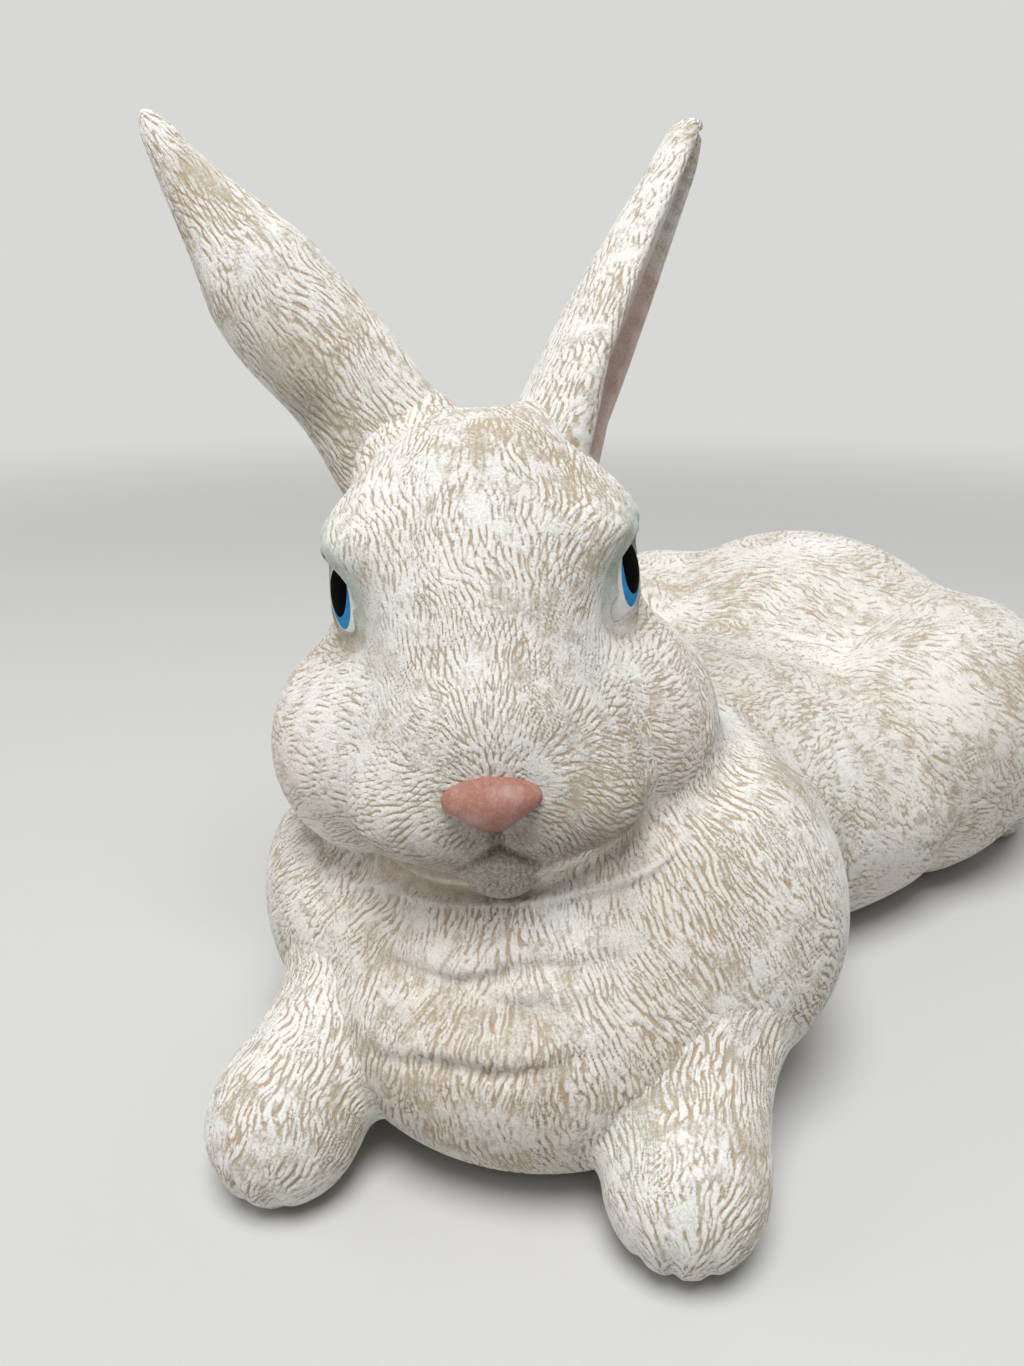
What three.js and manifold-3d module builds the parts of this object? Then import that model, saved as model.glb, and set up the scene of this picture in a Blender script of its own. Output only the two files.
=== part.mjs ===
// A reclining rabbit figurine, slip-cast in earthenware as separate castings that are luted together:
// trunk, head, ears, forelegs, hind feet, tail and nose, with inlaid eyes and tinted ear linings.
//
// Millimetres, +Z up. The hindquarters lie along +Y and the rabbit's left side is +X. The forequarters
// and the head are turned to its left, each measured in a group of its own.
//
// The rounded masses of the animal are ellipsoids and tapered limbs that blend into one another, as a
// modeller adds clay. Each casting is a sphere whose points are pushed out along rays until they reach
// that blended surface. A casting that is luted onto another is cut back to a film of slip from it.

import * as THREE from 'three';
import { mergeVertices } from 'three/addons/utils/BufferGeometryUtils.js';
import Module from 'manifold-3d';

const wasm = await Module();
wasm.setup();

// Main sizes
const BODY_LENGTH = 320;
const BODY_WIDTH = 208;
const BODY_HEIGHT = 112;
const HEAD_WIDTH = 104;
const EAR_LENGTH = 110;
const EAR_WIDTH = 38;
const EAR_DEPTH = 16;
const ELBOW_DIAMETER = 38;
const PAW_SIZE = [30, 35, 31];
const HIND_FOOT_DIAMETER = 32;
const TAIL_SIZE = [38, 32, 40];
const NOSE_SIZE = [20.5, 12, 11.5];
const EYE_SIZE = [16, 8, 20];

// Casting
const WALL = 6;
const BASE_WALL = 8;
const SLIP_FILM = 0.35;
const EAR_WALL = 4.5;
const LINING = 1.6;
const EYE_SUNK = 1.5;
const POUR_HOLE_DIAMETER = 26;
const NECK_HOLE_DIAMETER = 34;

// How softly the masses run into one another
const TRUNK_BLEND = 22;
const CHEST_BLEND = 16;
const HAUNCH_BLEND = 12;
const LEG_BLEND = 12;
const HEAD_BLEND = 13;

// The body's masses, each a centre and a full size in shares of the body's width, length and height
const RIBS = { at: [0, 0.078, 0.39], size: [0.615, 0.469, 0.93] };
const BELLY = { at: [0.019, 0.256, 0.321], size: [0.769, 0.469, 0.768] };
const RUMP = { at: [0, 0.475, 0.5], size: [0.673, 0.37, 0.964] };
const HAUNCH = { at: [0.298, 0.419, 0.429], size: [0.404, 0.419, 0.875] };
const HIND_FOOT = { heel: [0.337, 0.6, 0.125], toe: [0.385, 0.475, 0.116] };
const TAIL_RISE = 0.15;
const TRUNK_MIDDLE = [0, 0.194, 0.43];
const TRUNK_SPREAD = [1, 2, 0.9];

// The forequarters swivel to the left about a pivot between the shoulders, and count from it
const FORE_PIVOT = [0, -0.053, 0];
const FORE_TURN = 25;
const CHEST = { at: [0, -0.069, 0.536], size: [0.596, 0.35, 1.018] };
const BREAST = { at: [0, -0.159, 0.268], size: [0.529, 0.313, 0.696] };
const SHOULDER = { at: [0.226, -0.094, 0.393], size: [0.288, 0.244, 0.679] };
const NECK = { at: [0, -0.044, 0.786], size: [0.385, 0.25, 0.571] };
const LEFT_FORELEG = { elbow: [0.212, -0.156, 0.304], paw: [0.197, -0.291, 0.134] };
const RIGHT_FORELEG = { elbow: [-0.192, -0.163, 0.304], paw: [-0.24, -0.294, 0.134] };

// Rolls of skin run across the front of the forequarters, one along the throat and two on the breast,
// each between two places given across and up, with a thickness and a rise in shares of the body's height
const ROLLS = [
  { from: [-0.19, 0.546], to: [0.135, 0.658], thick: 0.03, rise: 0.0075 },
  { from: [-0.135, 0.498], to: [0.09, 0.562], thick: 0.08, rise: 0.012 },
  { from: [-0.125, 0.364], to: [0.08, 0.424], thick: 0.08, rise: 0.012 },
];

// The head turns further, and its masses count from its centre in shares of its width
const HEAD_PIVOT = [-0.0015, -0.163, 1];
const HEAD_TURN = 37;
const HEAD_ROLL = -4;
const SKULL = { at: [0, 0.058, 0.135], size: [0.692, 0.846, 0.731] };
const CHEEK = { at: [0.269, -0.048, -0.2], size: [0.538, 0.596, 0.55] };
const MUZZLE = { at: [0, -0.25, -0.154], size: [0.635, 0.519, 0.481] };
const BROW = { at: [0.25, -0.12, 0.285], size: [0.2, 0.3, 0.135] };
const LIP = { at: [0.115, -0.404, -0.24], size: [0.327, 0.25, 0.231] };
const CHIN = { at: [0, -0.375, -0.3], size: [0.288, 0.212, 0.173] };
const BRIDGE = { top: [0, -0.058, 0.308], topWidth: 0.481, end: [0, -0.346, -0.038], endWidth: 0.385 };
const NOSE_LEVEL = [0, 0, -0.144];
const EYE_LEVEL = [0, -0.005, 0.178];
const EYE_TURN = 62;
const IRIS_SHARE = 0.72;
const PUPIL_SHARE = 0.46;

// Ears: where each leaves the head, which way it leans, how it bows in shares of its length, the way its
// convex side faces, in degrees from straight ahead, and how wide it is from root to tip
const LEFT_EAR = {
  root: [0.165, 0.062, 0.308],
  leans: [0.41, 0.47, 0.78],
  bow: [0, -0.02, 0],
  faces: 101,
  profile: [1.08, 1.08, 1.06, 1.02, 0.94, 0.84, 0.73, 0.62, 0.52, 0.26],
};
const RIGHT_EAR = {
  root: [-0.082, 0.141, 0.421],
  leans: [-0.603, 0.18, 0.777],
  bow: [-0.036, -0.02, -0.023],
  faces: -35,
  profile: [0.8, 0.82, 0.86, 0.9, 0.91, 0.84, 0.66, 0.53, 0.39, 0.17],
};

const inBody = ([x, y, z]) => [x * BODY_WIDTH, y * BODY_LENGTH, z * BODY_HEIGHT];
const inHead = (shares) => shares.map((share) => share * HEAD_WIDTH);
const bodyMass = ({ at, size }) => ({ at: inBody(at), size: inBody(size) });
const headMass = ({ at, size }) => ({ at: inHead(at), size: inHead(size) });

// Fields: a field is a function of a point that is negative inside a shape and positive outside it

const ellipsoid = ({ at: [cx, cy, cz], size }, side = 1) => {
  const [rx, ry, rz] = size.map((full) => full / 2);
  return (x, y, z) => {
    const ux = (x - cx * side) / rx;
    const uy = (y - cy) / ry;
    const uz = (z - cz) / rz;
    const reach = Math.hypot(ux, uy, uz);
    const slope = Math.hypot(ux / rx, uy / ry, uz / rz);
    return slope > 0 ? (reach * (reach - 1)) / slope : -Math.min(rx, ry, rz);
  };
};

const limb = (start, end) => {
  const [ax, ay, az] = start.at;
  const axis = end.at.map((value, i) => value - start.at[i]);
  const length2 = axis[0] ** 2 + axis[1] ** 2 + axis[2] ** 2;
  return (x, y, z) => {
    const dx = x - ax;
    const dy = y - ay;
    const dz = z - az;
    const share = Math.min(1, Math.max(0, (dx * axis[0] + dy * axis[1] + dz * axis[2]) / length2));
    const radius = (start.diameter + (end.diameter - start.diameter) * share) / 2;
    return Math.hypot(dx - axis[0] * share, dy - axis[1] * share, dz - axis[2] * share) - radius;
  };
};

const blend = (softness, ...fields) => (x, y, z) => {
  let joined = fields[0](x, y, z);
  for (let i = 1; i < fields.length; i++) {
    const next = fields[i](x, y, z);
    const share = Math.min(1, Math.max(0, 0.5 + (0.5 * (joined - next)) / softness));
    joined += (next - joined) * share - softness * share * (1 - share);
  }
  return joined;
};

const pair = (mass) => [ellipsoid(mass, 1), ellipsoid(mass, -1)];

const inGroup = (group, field) => {
  group.updateMatrixWorld(true);
  const m = group.matrixWorld.clone().invert().elements;
  return (x, y, z) => field(
    m[0] * x + m[4] * y + m[8] * z + m[12],
    m[1] * x + m[5] * y + m[9] * z + m[13],
    m[2] * x + m[6] * y + m[10] * z + m[14],
  );
};

const grown = (field, by) => (x, y, z) => field(x, y, z) - by;

// Surfaces

const vector = (values) => new THREE.Vector3(...values);

function crossing(field, from, ray) {
  const at = (reach) => field(from.x + ray.x * reach, from.y + ray.y * reach, from.z + ray.z * reach);
  const step = 2;
  let near = 0;
  while (at(near + step) < 0) near += step;
  let far = near + step;
  for (let i = 0; i < 14; i++) {
    const middle = (near + far) / 2;
    if (at(middle) < 0) near = middle;
    else far = middle;
  }
  return from.clone().addScaledVector(ray, (near + far) / 2);
}

function bare(geometry) {
  const skin = new THREE.BufferGeometry();
  skin.setAttribute('position', geometry.attributes.position);
  skin.setIndex(geometry.index);
  return mergeVertices(skin);
}

function wrap(field, centre, spread, detail) {
  const skin = bare(new THREE.IcosahedronGeometry(1, detail));
  const points = skin.attributes.position;
  const from = vector(centre);
  const stretch = vector(spread);
  for (let i = 0; i < points.count; i++) {
    const ray = new THREE.Vector3().fromBufferAttribute(points, i).multiply(stretch).normalize();
    points.setXYZ(i, ...crossing(field, from, ray));
  }
  return skin;
}

// Rings of equal count, each an outer arc followed by an inner arc that runs back
function loft(rings) {
  const around = rings[0].length;
  const last = (rings.length - 1) * around;
  const faces = [];
  for (let ring = 0; ring < last; ring += around) {
    for (let i = 0; i < around; i++) {
      const a = ring + i;
      const b = ring + ((i + 1) % around);
      faces.push(a, b, b + around, a, b + around, a + around);
    }
  }
  for (let i = 0; i < around / 2 - 1; i++) {
    const [a, b, c, d] = [i, i + 1, around - 2 - i, around - 1 - i];
    faces.push(a, c, b, a, d, c, last + a, last + b, last + c, last + a, last + c, last + d);
  }
  const skin = new THREE.BufferGeometry();
  skin.setAttribute('position', new THREE.Float32BufferAttribute(rings.flat().flatMap((p) => p.toArray()), 3));
  skin.setIndex(faces);
  return skin;
}

function solid(geometry) {
  const skin = bare(geometry);
  const mesh = new wasm.Mesh({
    numProp: 3,
    vertProperties: Float32Array.from(skin.attributes.position.array),
    triVerts: Uint32Array.from(skin.index.array),
  });
  mesh.merge();
  return new wasm.Manifold(mesh);
}

function surface(body) {
  const mesh = body.getMesh();
  const skin = new THREE.BufferGeometry();
  skin.setAttribute('position', new THREE.Float32BufferAttribute(mesh.vertProperties, 3));
  skin.setIndex(Array.from(mesh.triVerts));
  skin.computeVertexNormals();
  return skin;
}

const moved = (geometry, group) => {
  group.updateWorldMatrix(true, false);
  return geometry.applyMatrix4(group.matrixWorld);
};

// The turned groups

const degrees = THREE.MathUtils.degToRad;
const fore = new THREE.Group();
fore.position.set(...inBody(FORE_PIVOT));
fore.rotation.set(0, 0, degrees(FORE_TURN));
const head = new THREE.Group();
head.position.set(...inBody(HEAD_PIVOT));
head.rotation.set(0, degrees(HEAD_ROLL), degrees(HEAD_TURN), 'ZYX');

// The blended masses of the animal

const bodyPair = (mass) => pair(bodyMass(mass));
const headPair = (mass) => pair(headMass(mass));
const bodyLump = (mass) => ellipsoid(bodyMass(mass));
const headLump = (mass) => ellipsoid(headMass(mass));

const hindField = blend(
  HAUNCH_BLEND,
  blend(TRUNK_BLEND, bodyLump(RIBS), bodyLump(BELLY), bodyLump(RUMP)),
  ...bodyPair(HAUNCH),
);
const foreField = blend(CHEST_BLEND, bodyLump(CHEST), bodyLump(BREAST), ...bodyPair(SHOULDER), bodyLump(NECK));
const trunkField = blend(TRUNK_BLEND, hindField, inGroup(fore, foreField));
const headField = inGroup(head, blend(
  HEAD_BLEND,
  headLump(SKULL),
  limb(
    { at: inHead(BRIDGE.top), diameter: BRIDGE.topWidth * HEAD_WIDTH },
    { at: inHead(BRIDGE.end), diameter: BRIDGE.endWidth * HEAD_WIDTH },
  ),
  headLump(MUZZLE),
  ...headPair(CHEEK),
  ...headPair(BROW),
  ...headPair(LIP),
  headLump(CHIN),
));

// Castings

const pieces = {};
const ground = solid(
  new THREE.BoxGeometry(4 * BODY_LENGTH, 4 * BODY_LENGTH, 2 * BODY_HEIGHT).translate(0, 0, -BODY_HEIGHT),
);

const trunkMiddle = inBody(TRUNK_MIDDLE);
const TRUNK_DETAIL = 15;
const trunkWrap = (by, detail) => solid(wrap(grown(trunkField, by), trunkMiddle, TRUNK_SPREAD, detail));
const trunkSeat = trunkWrap(SLIP_FILM, TRUNK_DETAIL);
const trunkHollow = solid(wrap(
  (x, y, z) => Math.max(trunkField(x, y, z) + WALL, BASE_WALL - z),
  trunkMiddle,
  TRUNK_SPREAD,
  5,
));
const pourHole = solid(
  new THREE.CylinderGeometry(POUR_HOLE_DIAMETER / 2, POUR_HOLE_DIAMETER / 2, 4 * BASE_WALL, 32)
    .rotateX(Math.PI / 2)
    .translate(trunkMiddle[0], trunkMiddle[1], BASE_WALL),
);
const neckHole = solid(moved(
  new THREE.CylinderGeometry(NECK_HOLE_DIAMETER / 2, NECK_HOLE_DIAMETER / 2, BODY_HEIGHT / 2, 32)
    .rotateX(Math.PI / 2)
    .translate(...inBody(NECK.at))
    .translate(0, 0, BODY_HEIGHT / 5),
  fore,
));

// A half-sunk rod over the skin, whose ends dive under it
const ROLL_STEPS = 10;
function roll({ from, to, thick, rise }) {
  const radius = (thick * BODY_HEIGHT) / 2;
  const ahead = new THREE.Vector3(0, -1, 0).transformDirection(fore.matrixWorld);
  const line = Array.from({ length: ROLL_STEPS + 1 }, (_, step) => {
    const share = step / ROLL_STEPS;
    const [across, up] = [0, 1].map((i) => from[i] + (to[i] - from[i]) * share);
    const start = vector(inBody([across, 0, up])).applyMatrix4(fore.matrixWorld);
    const proud = rise * BODY_HEIGHT * (1 - 1.6 * (2 * share - 1) ** 2);
    return crossing(trunkField, start, ahead).addScaledVector(ahead, proud - radius);
  });
  return solid(new THREE.ExtrudeGeometry(
    new THREE.Shape(new THREE.EllipseCurve(0, 0, radius, radius).getPoints(10).slice(0, -1)),
    { steps: 2 * ROLL_STEPS, extrudePath: new THREE.CatmullRomCurve3(line) },
  ));
}

pieces.body_shell = ROLLS.map(roll)
  .reduce((skin, rod) => skin.add(rod), trunkWrap(0, TRUNK_DETAIL))
  .subtract(trunkHollow)
  .subtract(pourHole)
  .subtract(neckHole)
  .subtract(ground);

const headWrap = (by, detail) => solid(wrap(grown(headField, by), head.position, [1, 1, 1], detail));
const headSeat = headWrap(SLIP_FILM, 10);
pieces.head_shell = headWrap(0, 10).subtract(headWrap(-WALL, 4)).subtract(trunkSeat);

const luted = (skin) => solid(skin).subtract(trunkSeat).subtract(ground);
const halfway = (start, end) => vector(start).lerp(vector(end), 0.5);

function foreleg(leg) {
  const [elbow, paw] = [leg.elbow, leg.paw].map(inBody);
  const field = inGroup(fore, blend(
    LEG_BLEND,
    limb({ at: elbow, diameter: ELBOW_DIAMETER }, { at: paw, diameter: Math.min(...PAW_SIZE) }),
    ellipsoid({ at: paw, size: PAW_SIZE }),
  ));
  return luted(wrap(field, halfway(elbow, paw).applyMatrix4(fore.matrixWorld), [1, 1, 1], 5));
}
pieces.left_foreleg = foreleg(LEFT_FORELEG);
pieces.right_foreleg = foreleg(RIGHT_FORELEG);

const pad = (size, place) => new THREE.SphereGeometry(0.5, 18, 12).scale(...size).translate(...place);

function hindFoot(side) {
  const [heel, toe] = [HIND_FOOT.heel, HIND_FOOT.toe].map(([x, y, z]) => inBody([x * side, y, z]));
  const diameter = HIND_FOOT_DIAMETER;
  return luted(wrap(limb({ at: heel, diameter }, { at: toe, diameter }), halfway(heel, toe), [1, 1, 1], 4));
}
pieces.left_hind_foot = hindFoot(1);
pieces.right_hind_foot = hindFoot(-1);

const tailPlace = crossing(trunkField, vector(inBody(RUMP.at)), vector([0, 1, TAIL_RISE]).normalize());
pieces.tail = luted(pad(TAIL_SIZE, tailPlace));

const toHead = head.matrixWorld.clone().invert();
const onHead = (from, ray) => crossing(
  headField,
  vector(from).applyMatrix4(head.matrixWorld),
  vector(ray).transformDirection(head.matrixWorld),
).applyMatrix4(toHead);

const nosePlace = onHead(inHead(NOSE_LEVEL), [0, -1, 0]);
pieces.nose = solid(moved(pad(NOSE_SIZE, nosePlace), head)).subtract(headSeat);

// Ears: a channel of half-elliptical section along a bowed line, solid at its root

const EAR_STATIONS = 14;
const SECTION_POINTS = 9;
const SECTION_SWEEP = 98;

const along = (values, share) => {
  const place = share * (values.length - 1);
  const low = Math.min(values.length - 2, Math.floor(place));
  return values[low] + (values[low + 1] - values[low]) * (place - low);
};

function earRings({ root, leans, bow, faces, profile }, outer, inner, sweep, first, last) {
  const base = vector(inHead(root));
  const tip = base.clone().addScaledVector(vector(leans).normalize(), EAR_LENGTH);
  const middle = halfway(base, tip).addScaledVector(vector(bow), EAR_LENGTH);
  const line = new THREE.CatmullRomCurve3([base, middle, tip]);
  const ahead = new THREE.Vector3(-Math.sin(degrees(faces)), -Math.cos(degrees(faces)), 0);
  const rings = [];
  for (let station = first; station <= last; station++) {
    const share = station / EAR_STATIONS;
    const size = along(profile, share);
    const tangent = line.getTangent(share);
    const across = new THREE.Vector3().crossVectors(tangent, ahead).normalize();
    const front = new THREE.Vector3().crossVectors(across, tangent).normalize();
    const arc = (inset, from, to) => Array.from({ length: SECTION_POINTS }, (_, i) => {
      const angle = degrees(from + ((to - from) * i) / (SECTION_POINTS - 1));
      const wide = Math.max(0.4, (EAR_WIDTH * size) / 2 - inset);
      const deep = Math.max(0.4, EAR_DEPTH * size - inset);
      return line.getPoint(share)
        .addScaledVector(across, wide * Math.sin(angle))
        .addScaledVector(front, deep * Math.cos(angle));
    });
    rings.push([...arc(outer(share, size), -sweep, sweep), ...arc(inner(share, size), sweep, -sweep)]);
  }
  return rings;
}

const earWall = (share, size) => {
  const filled = Math.max(0, 1 - share / 0.3);
  return EAR_WALL * (0.4 + 0.6 * size) + filled * EAR_WIDTH * 0.3;
};

function ear(place) {
  const rings = earRings(place, () => 0, earWall, SECTION_SWEEP, 0, EAR_STATIONS);
  return solid(moved(loft(rings), head)).subtract(headSeat);
}

function earLining(place) {
  const outer = (share, size) => earWall(share, size) + SLIP_FILM;
  const inner = (share, size) => outer(share, size) + LINING;
  const rings = earRings(place, outer, inner, SECTION_SWEEP * 0.8, 3, EAR_STATIONS - 3);
  return solid(moved(loft(rings), head)).subtract(headSeat);
}

pieces.left_ear = ear(LEFT_EAR);
pieces.right_ear = ear(RIGHT_EAR);
pieces.left_ear_lining = earLining(LEFT_EAR);
pieces.right_ear_lining = earLining(RIGHT_EAR);

// Eyes: one domed button, divided into the white, the iris and the pupil

function eye(side) {
  const turn = degrees(EYE_TURN);
  const group = new THREE.Group();
  group.position.copy(onHead(inHead(EYE_LEVEL), [Math.sin(turn) * side, -Math.cos(turn), 0]));
  group.rotation.set(0, 0, turn * side);
  group.translateY(EYE_SUNK);
  head.add(group);
  const button = (by) => solid(moved(
    new THREE.SphereGeometry(0.5, 16, 10).scale(...EYE_SIZE.map((size) => size + by)),
    group,
  ));
  const rod = (share, by) => solid(moved(
    new THREE.CylinderGeometry(0.5, 0.5, 1, 16)
      .scale(EYE_SIZE[0] * share + by, EYE_SIZE[1] + 4, EYE_SIZE[2] * share + by),
    group,
  ));
  const whole = button(0);
  return {
    seat: button(2 * SLIP_FILM),
    white: whole.subtract(rod(IRIS_SHARE, 0)),
    iris: whole.intersect(rod(IRIS_SHARE, -2 * SLIP_FILM)).subtract(rod(PUPIL_SHARE, 0)),
    pupil: whole.intersect(rod(PUPIL_SHARE, -2 * SLIP_FILM)),
  };
}

for (const [name, side] of [['left', 1], ['right', -1]]) {
  const { seat, white, iris, pupil } = eye(side);
  pieces.head_shell = pieces.head_shell.subtract(seat);
  pieces[`${name}_eye_white`] = white;
  pieces[`${name}_iris`] = iris;
  pieces[`${name}_pupil`] = pupil;
}

// Colours

const paint = (colour, roughness) => new THREE.MeshStandardMaterial({ color: colour, roughness, metalness: 0 });
const fur = paint(0xe4dacb, 0.85);
const pink = paint(0xd9a79c, 0.8);
const white = paint(0xf3f1ec, 0.2);
const blue = paint(0x3a86c8, 0.15);
const black = paint(0x0b0b0d, 0.1);
const colours = {
  nose: paint(0xcf9a90, 0.8),
  left_ear_lining: pink,
  right_ear_lining: pink,
  left_eye_white: white,
  right_eye_white: white,
  left_iris: blue,
  right_iris: blue,
  left_pupil: black,
  right_pupil: black,
};

const rabbit = new THREE.Group();
const figure = new THREE.Group();
rabbit.add(figure);
for (const [name, body] of Object.entries(pieces)) {
  const mesh = new THREE.Mesh(surface(body), colours[name] ?? fur);
  mesh.name = name;
  figure.add(mesh);
}
const box = new THREE.Box3().setFromObject(figure);
figure.position.set(-(box.min.x + box.max.x) / 2, -(box.min.y + box.max.y) / 2, -box.min.z);

export default rabbit;
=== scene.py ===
from math import cos, pi, radians, sin

import bmesh
import bpy
import numpy as np
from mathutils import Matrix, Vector


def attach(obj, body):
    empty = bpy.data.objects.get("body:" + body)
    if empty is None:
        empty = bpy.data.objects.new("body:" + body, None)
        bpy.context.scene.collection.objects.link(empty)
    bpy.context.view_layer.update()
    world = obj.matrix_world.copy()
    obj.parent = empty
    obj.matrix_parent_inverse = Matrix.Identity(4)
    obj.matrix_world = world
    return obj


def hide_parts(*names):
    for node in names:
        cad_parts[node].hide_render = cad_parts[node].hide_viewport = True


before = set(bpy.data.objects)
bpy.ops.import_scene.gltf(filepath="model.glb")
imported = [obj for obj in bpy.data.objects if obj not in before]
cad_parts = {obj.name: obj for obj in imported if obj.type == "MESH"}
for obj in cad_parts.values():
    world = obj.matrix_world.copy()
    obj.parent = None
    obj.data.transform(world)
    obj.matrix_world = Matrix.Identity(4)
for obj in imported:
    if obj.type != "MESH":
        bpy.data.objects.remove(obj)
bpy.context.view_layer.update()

bl_info = {
    "name": "Rabbit figurine",
    "version": (1, 0, 0),
    "blender": (4, 5, 0),
    "location": "3D View > Sidebar > Rabbit",
    "description": "Dresses a reclining earthenware rabbit: carved fur, brushed paint and glossy eyes",
    "category": "Add Mesh",
}

# Shapes are worked out in millimetres in the body's own frame and moved to the row frame at the end
MM = 0.001
TO_ROW = np.array((0.0, -42.092, 0.0))

BODY = np.array((208.0, 320.0, 112.0))
HEAD = 104.0


class Place:
    """A turned frame in which a group of masses is measured."""

    def __init__(self, at, turn, roll=0.0):
        a, b = radians(turn), radians(roll)
        about_z = np.array(((cos(a), -sin(a), 0), (sin(a), cos(a), 0), (0, 0, 1)))
        about_y = np.array(((cos(b), 0, sin(b)), (0, 1, 0), (-sin(b), 0, cos(b))))
        self.at = np.array(at, float)
        self.axes = about_z @ about_y

    def local(self, points):
        return (points - self.at) @ self.axes

    def outside(self, points):
        return points @ self.axes.T + self.at


def mass(at, size, unit):
    """Centre and half size of a rounded mass, from shares of a unit length or of three."""
    return np.multiply(at, unit), np.multiply(size, unit) / 2


FORE = Place((0, -0.053 * BODY[1], 0), 25)
SKULL_PLACE = Place((-0.0015 * BODY[0], -0.163 * BODY[1], BODY[2]), 37, -4)

RIBS = mass((0, 0.078, 0.39), (0.615, 0.469, 0.93), BODY)
BELLY = mass((0.019, 0.256, 0.321), (0.769, 0.469, 0.768), BODY)
RUMP = mass((0, 0.475, 0.5), (0.673, 0.37, 0.964), BODY)
HAUNCH = mass((0.298, 0.419, 0.429), (0.404, 0.419, 0.875), BODY)
CHEST = mass((0, -0.069, 0.536), (0.596, 0.35, 1.018), BODY)
BREAST = mass((0, -0.159, 0.268), (0.529, 0.313, 0.696), BODY)
SHOULDER = mass((0.226, -0.094, 0.393), (0.288, 0.244, 0.679), BODY)
NECK = mass((0, -0.044, 0.786), (0.385, 0.25, 0.571), BODY)
LEGS = {
    "left": (BODY * (0.212, -0.156, 0.304), BODY * (0.197, -0.291, 0.134)),
    "right": (BODY * (-0.192, -0.163, 0.304), BODY * (-0.24, -0.294, 0.134)),
}
ELBOW = 38.0
PAW = np.array((30.0, 35.0, 31.0))
HIND_FOOT = (BODY * (0.337, 0.6, 0.125), BODY * (0.385, 0.475, 0.116))
HIND_FOOT_DIAMETER = 32.0
TAIL_SIZE = np.array((38.0, 32.0, 40.0))
POUR_HOLE = (0.0, 0.194 * BODY[1], 13.0)

CRANIUM = mass((0, 0.058, 0.135), (0.692, 0.846, 0.731), HEAD)
CHEEK = mass((0.269, -0.048, -0.2), (0.538, 0.596, 0.55), HEAD)
MUZZLE = mass((0, -0.25, -0.154), (0.635, 0.519, 0.481), HEAD)
BROW = mass((0.25, -0.12, 0.304), (0.208, 0.3, 0.125), HEAD)
LIP = mass((0.115, -0.404, -0.24), (0.327, 0.25, 0.231), HEAD)
CHIN = mass((0, -0.375, -0.288), (0.288, 0.212, 0.165), HEAD)
BRIDGE = (
    np.array((0, -0.058, 0.308)) * HEAD, np.array((0, -0.346, -0.038)) * HEAD, 0.481 * HEAD, 0.385 * HEAD,
)
NOSE_LEVEL = np.array((0, 0, -0.144)) * HEAD
EYE_LEVEL = np.array((0, -0.005, 0.178)) * HEAD
EYE_TURN = 62.0
EYE_SUNK = 1.5
EYE_HALF = np.array((8.2, 3.6, 10.4))

EARS = {
    "left": {
        "root": (0.165, 0.062, 0.308), "leans": (0.41, 0.47, 0.78), "bow": (0, -0.02, 0), "faces": 101.0,
        "flare": 0.0, "rims": (82.0, 97.0),
        "profile": (1.08, 1.08, 1.06, 1.02, 0.94, 0.84, 0.73, 0.62, 0.53, 0.44),
    },
    "right": {
        "root": (-0.114, 0.141, 0.3845), "leans": (-0.567, 0.178, 0.804), "bow": (-0.022, -0.02, -0.005),
        "faces": -35.0, "flare": 0.3, "rims": (98.0, 98.0),
        "profile": (0.8, 0.8, 0.8, 0.82, 0.82, 0.79, 0.6, 0.43, 0.28, 0.15),
    },
}
EAR_LENGTH = 110.0
EAR_WIDTH = 38.0
EAR_DEPTH = 16.0
EAR_WALL = 4.5

FINENESS = {
    "trunk": (0.62, 2.2), "head": (0.5, 1.6), "nose": (0.35, 0.7),
    "foreleg": (0.55, 1.6), "hind_foot": (0.7, 1.6), "tail": (0.6, 1.4),
}

# Places along the row's length, in metres, at which the trunk is parted
TRUNK_CUTS = (-0.105, -0.055, 0.05)

# Softness of the runs between masses, in millimetres
HIND_RUN = 22
HAUNCH_RUN = 12
FRONT_RUN = 16
HEAD_RUN = 13
FOOT_EDGE = 3

# Depths on the trunk in millimetres, beyond the plain masses
JAW_RECESS = 6.5
BACK_SAG = 6.5
RUMP_RISE = 3.0
FLANK_FILL = 5.0
CHIN_RECESS = 2.5
THROAT_RIDGE = 1.1
HAUNCH_CREASE = 1.6
POUR_HOLE_DEPTH = 16

# Depths on the head in millimetres
CHEEK_CREASE = 1.5
JAW_LIFT = 1.8
LID_CREASE = 0.5
MOUTH_DEPTH = 2.0
MOUTH_DIP = 1.1

# The camera, in the body's frame in millimetres and degrees
CAMERA_AT = (149.0, -242.0, 190.0)
CAMERA_TILT = 70
CAMERA_TURN = 37


# Fields: a field is negative inside a shape and positive outside it, in millimetres


def ramp(value, low, high):
    """A smooth step from 0 at low to 1 at high."""
    t = np.clip((value - low) / (high - low), 0, 1)
    return t * t * (3 - 2 * t)


def bell(value, width):
    """A smooth bump of height 1 at zero."""
    return np.exp(-((value / width) ** 2))


def reach_to(p, place, stretch=(1, 1, 1)):
    """Distance of each point to a place, with each axis stretched."""
    return np.linalg.norm((p - place) * stretch, axis=1)


def lump(p, form, side=1):
    """An ellipsoid, or its mirror image where side is -1."""
    centre, half = form
    u = (p - centre * (side, 1, 1)) / half
    reach = np.linalg.norm(u, axis=1)
    slope = np.linalg.norm(u / half, axis=1)
    return reach * (reach - 1) / np.maximum(slope, 1e-9)


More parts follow.
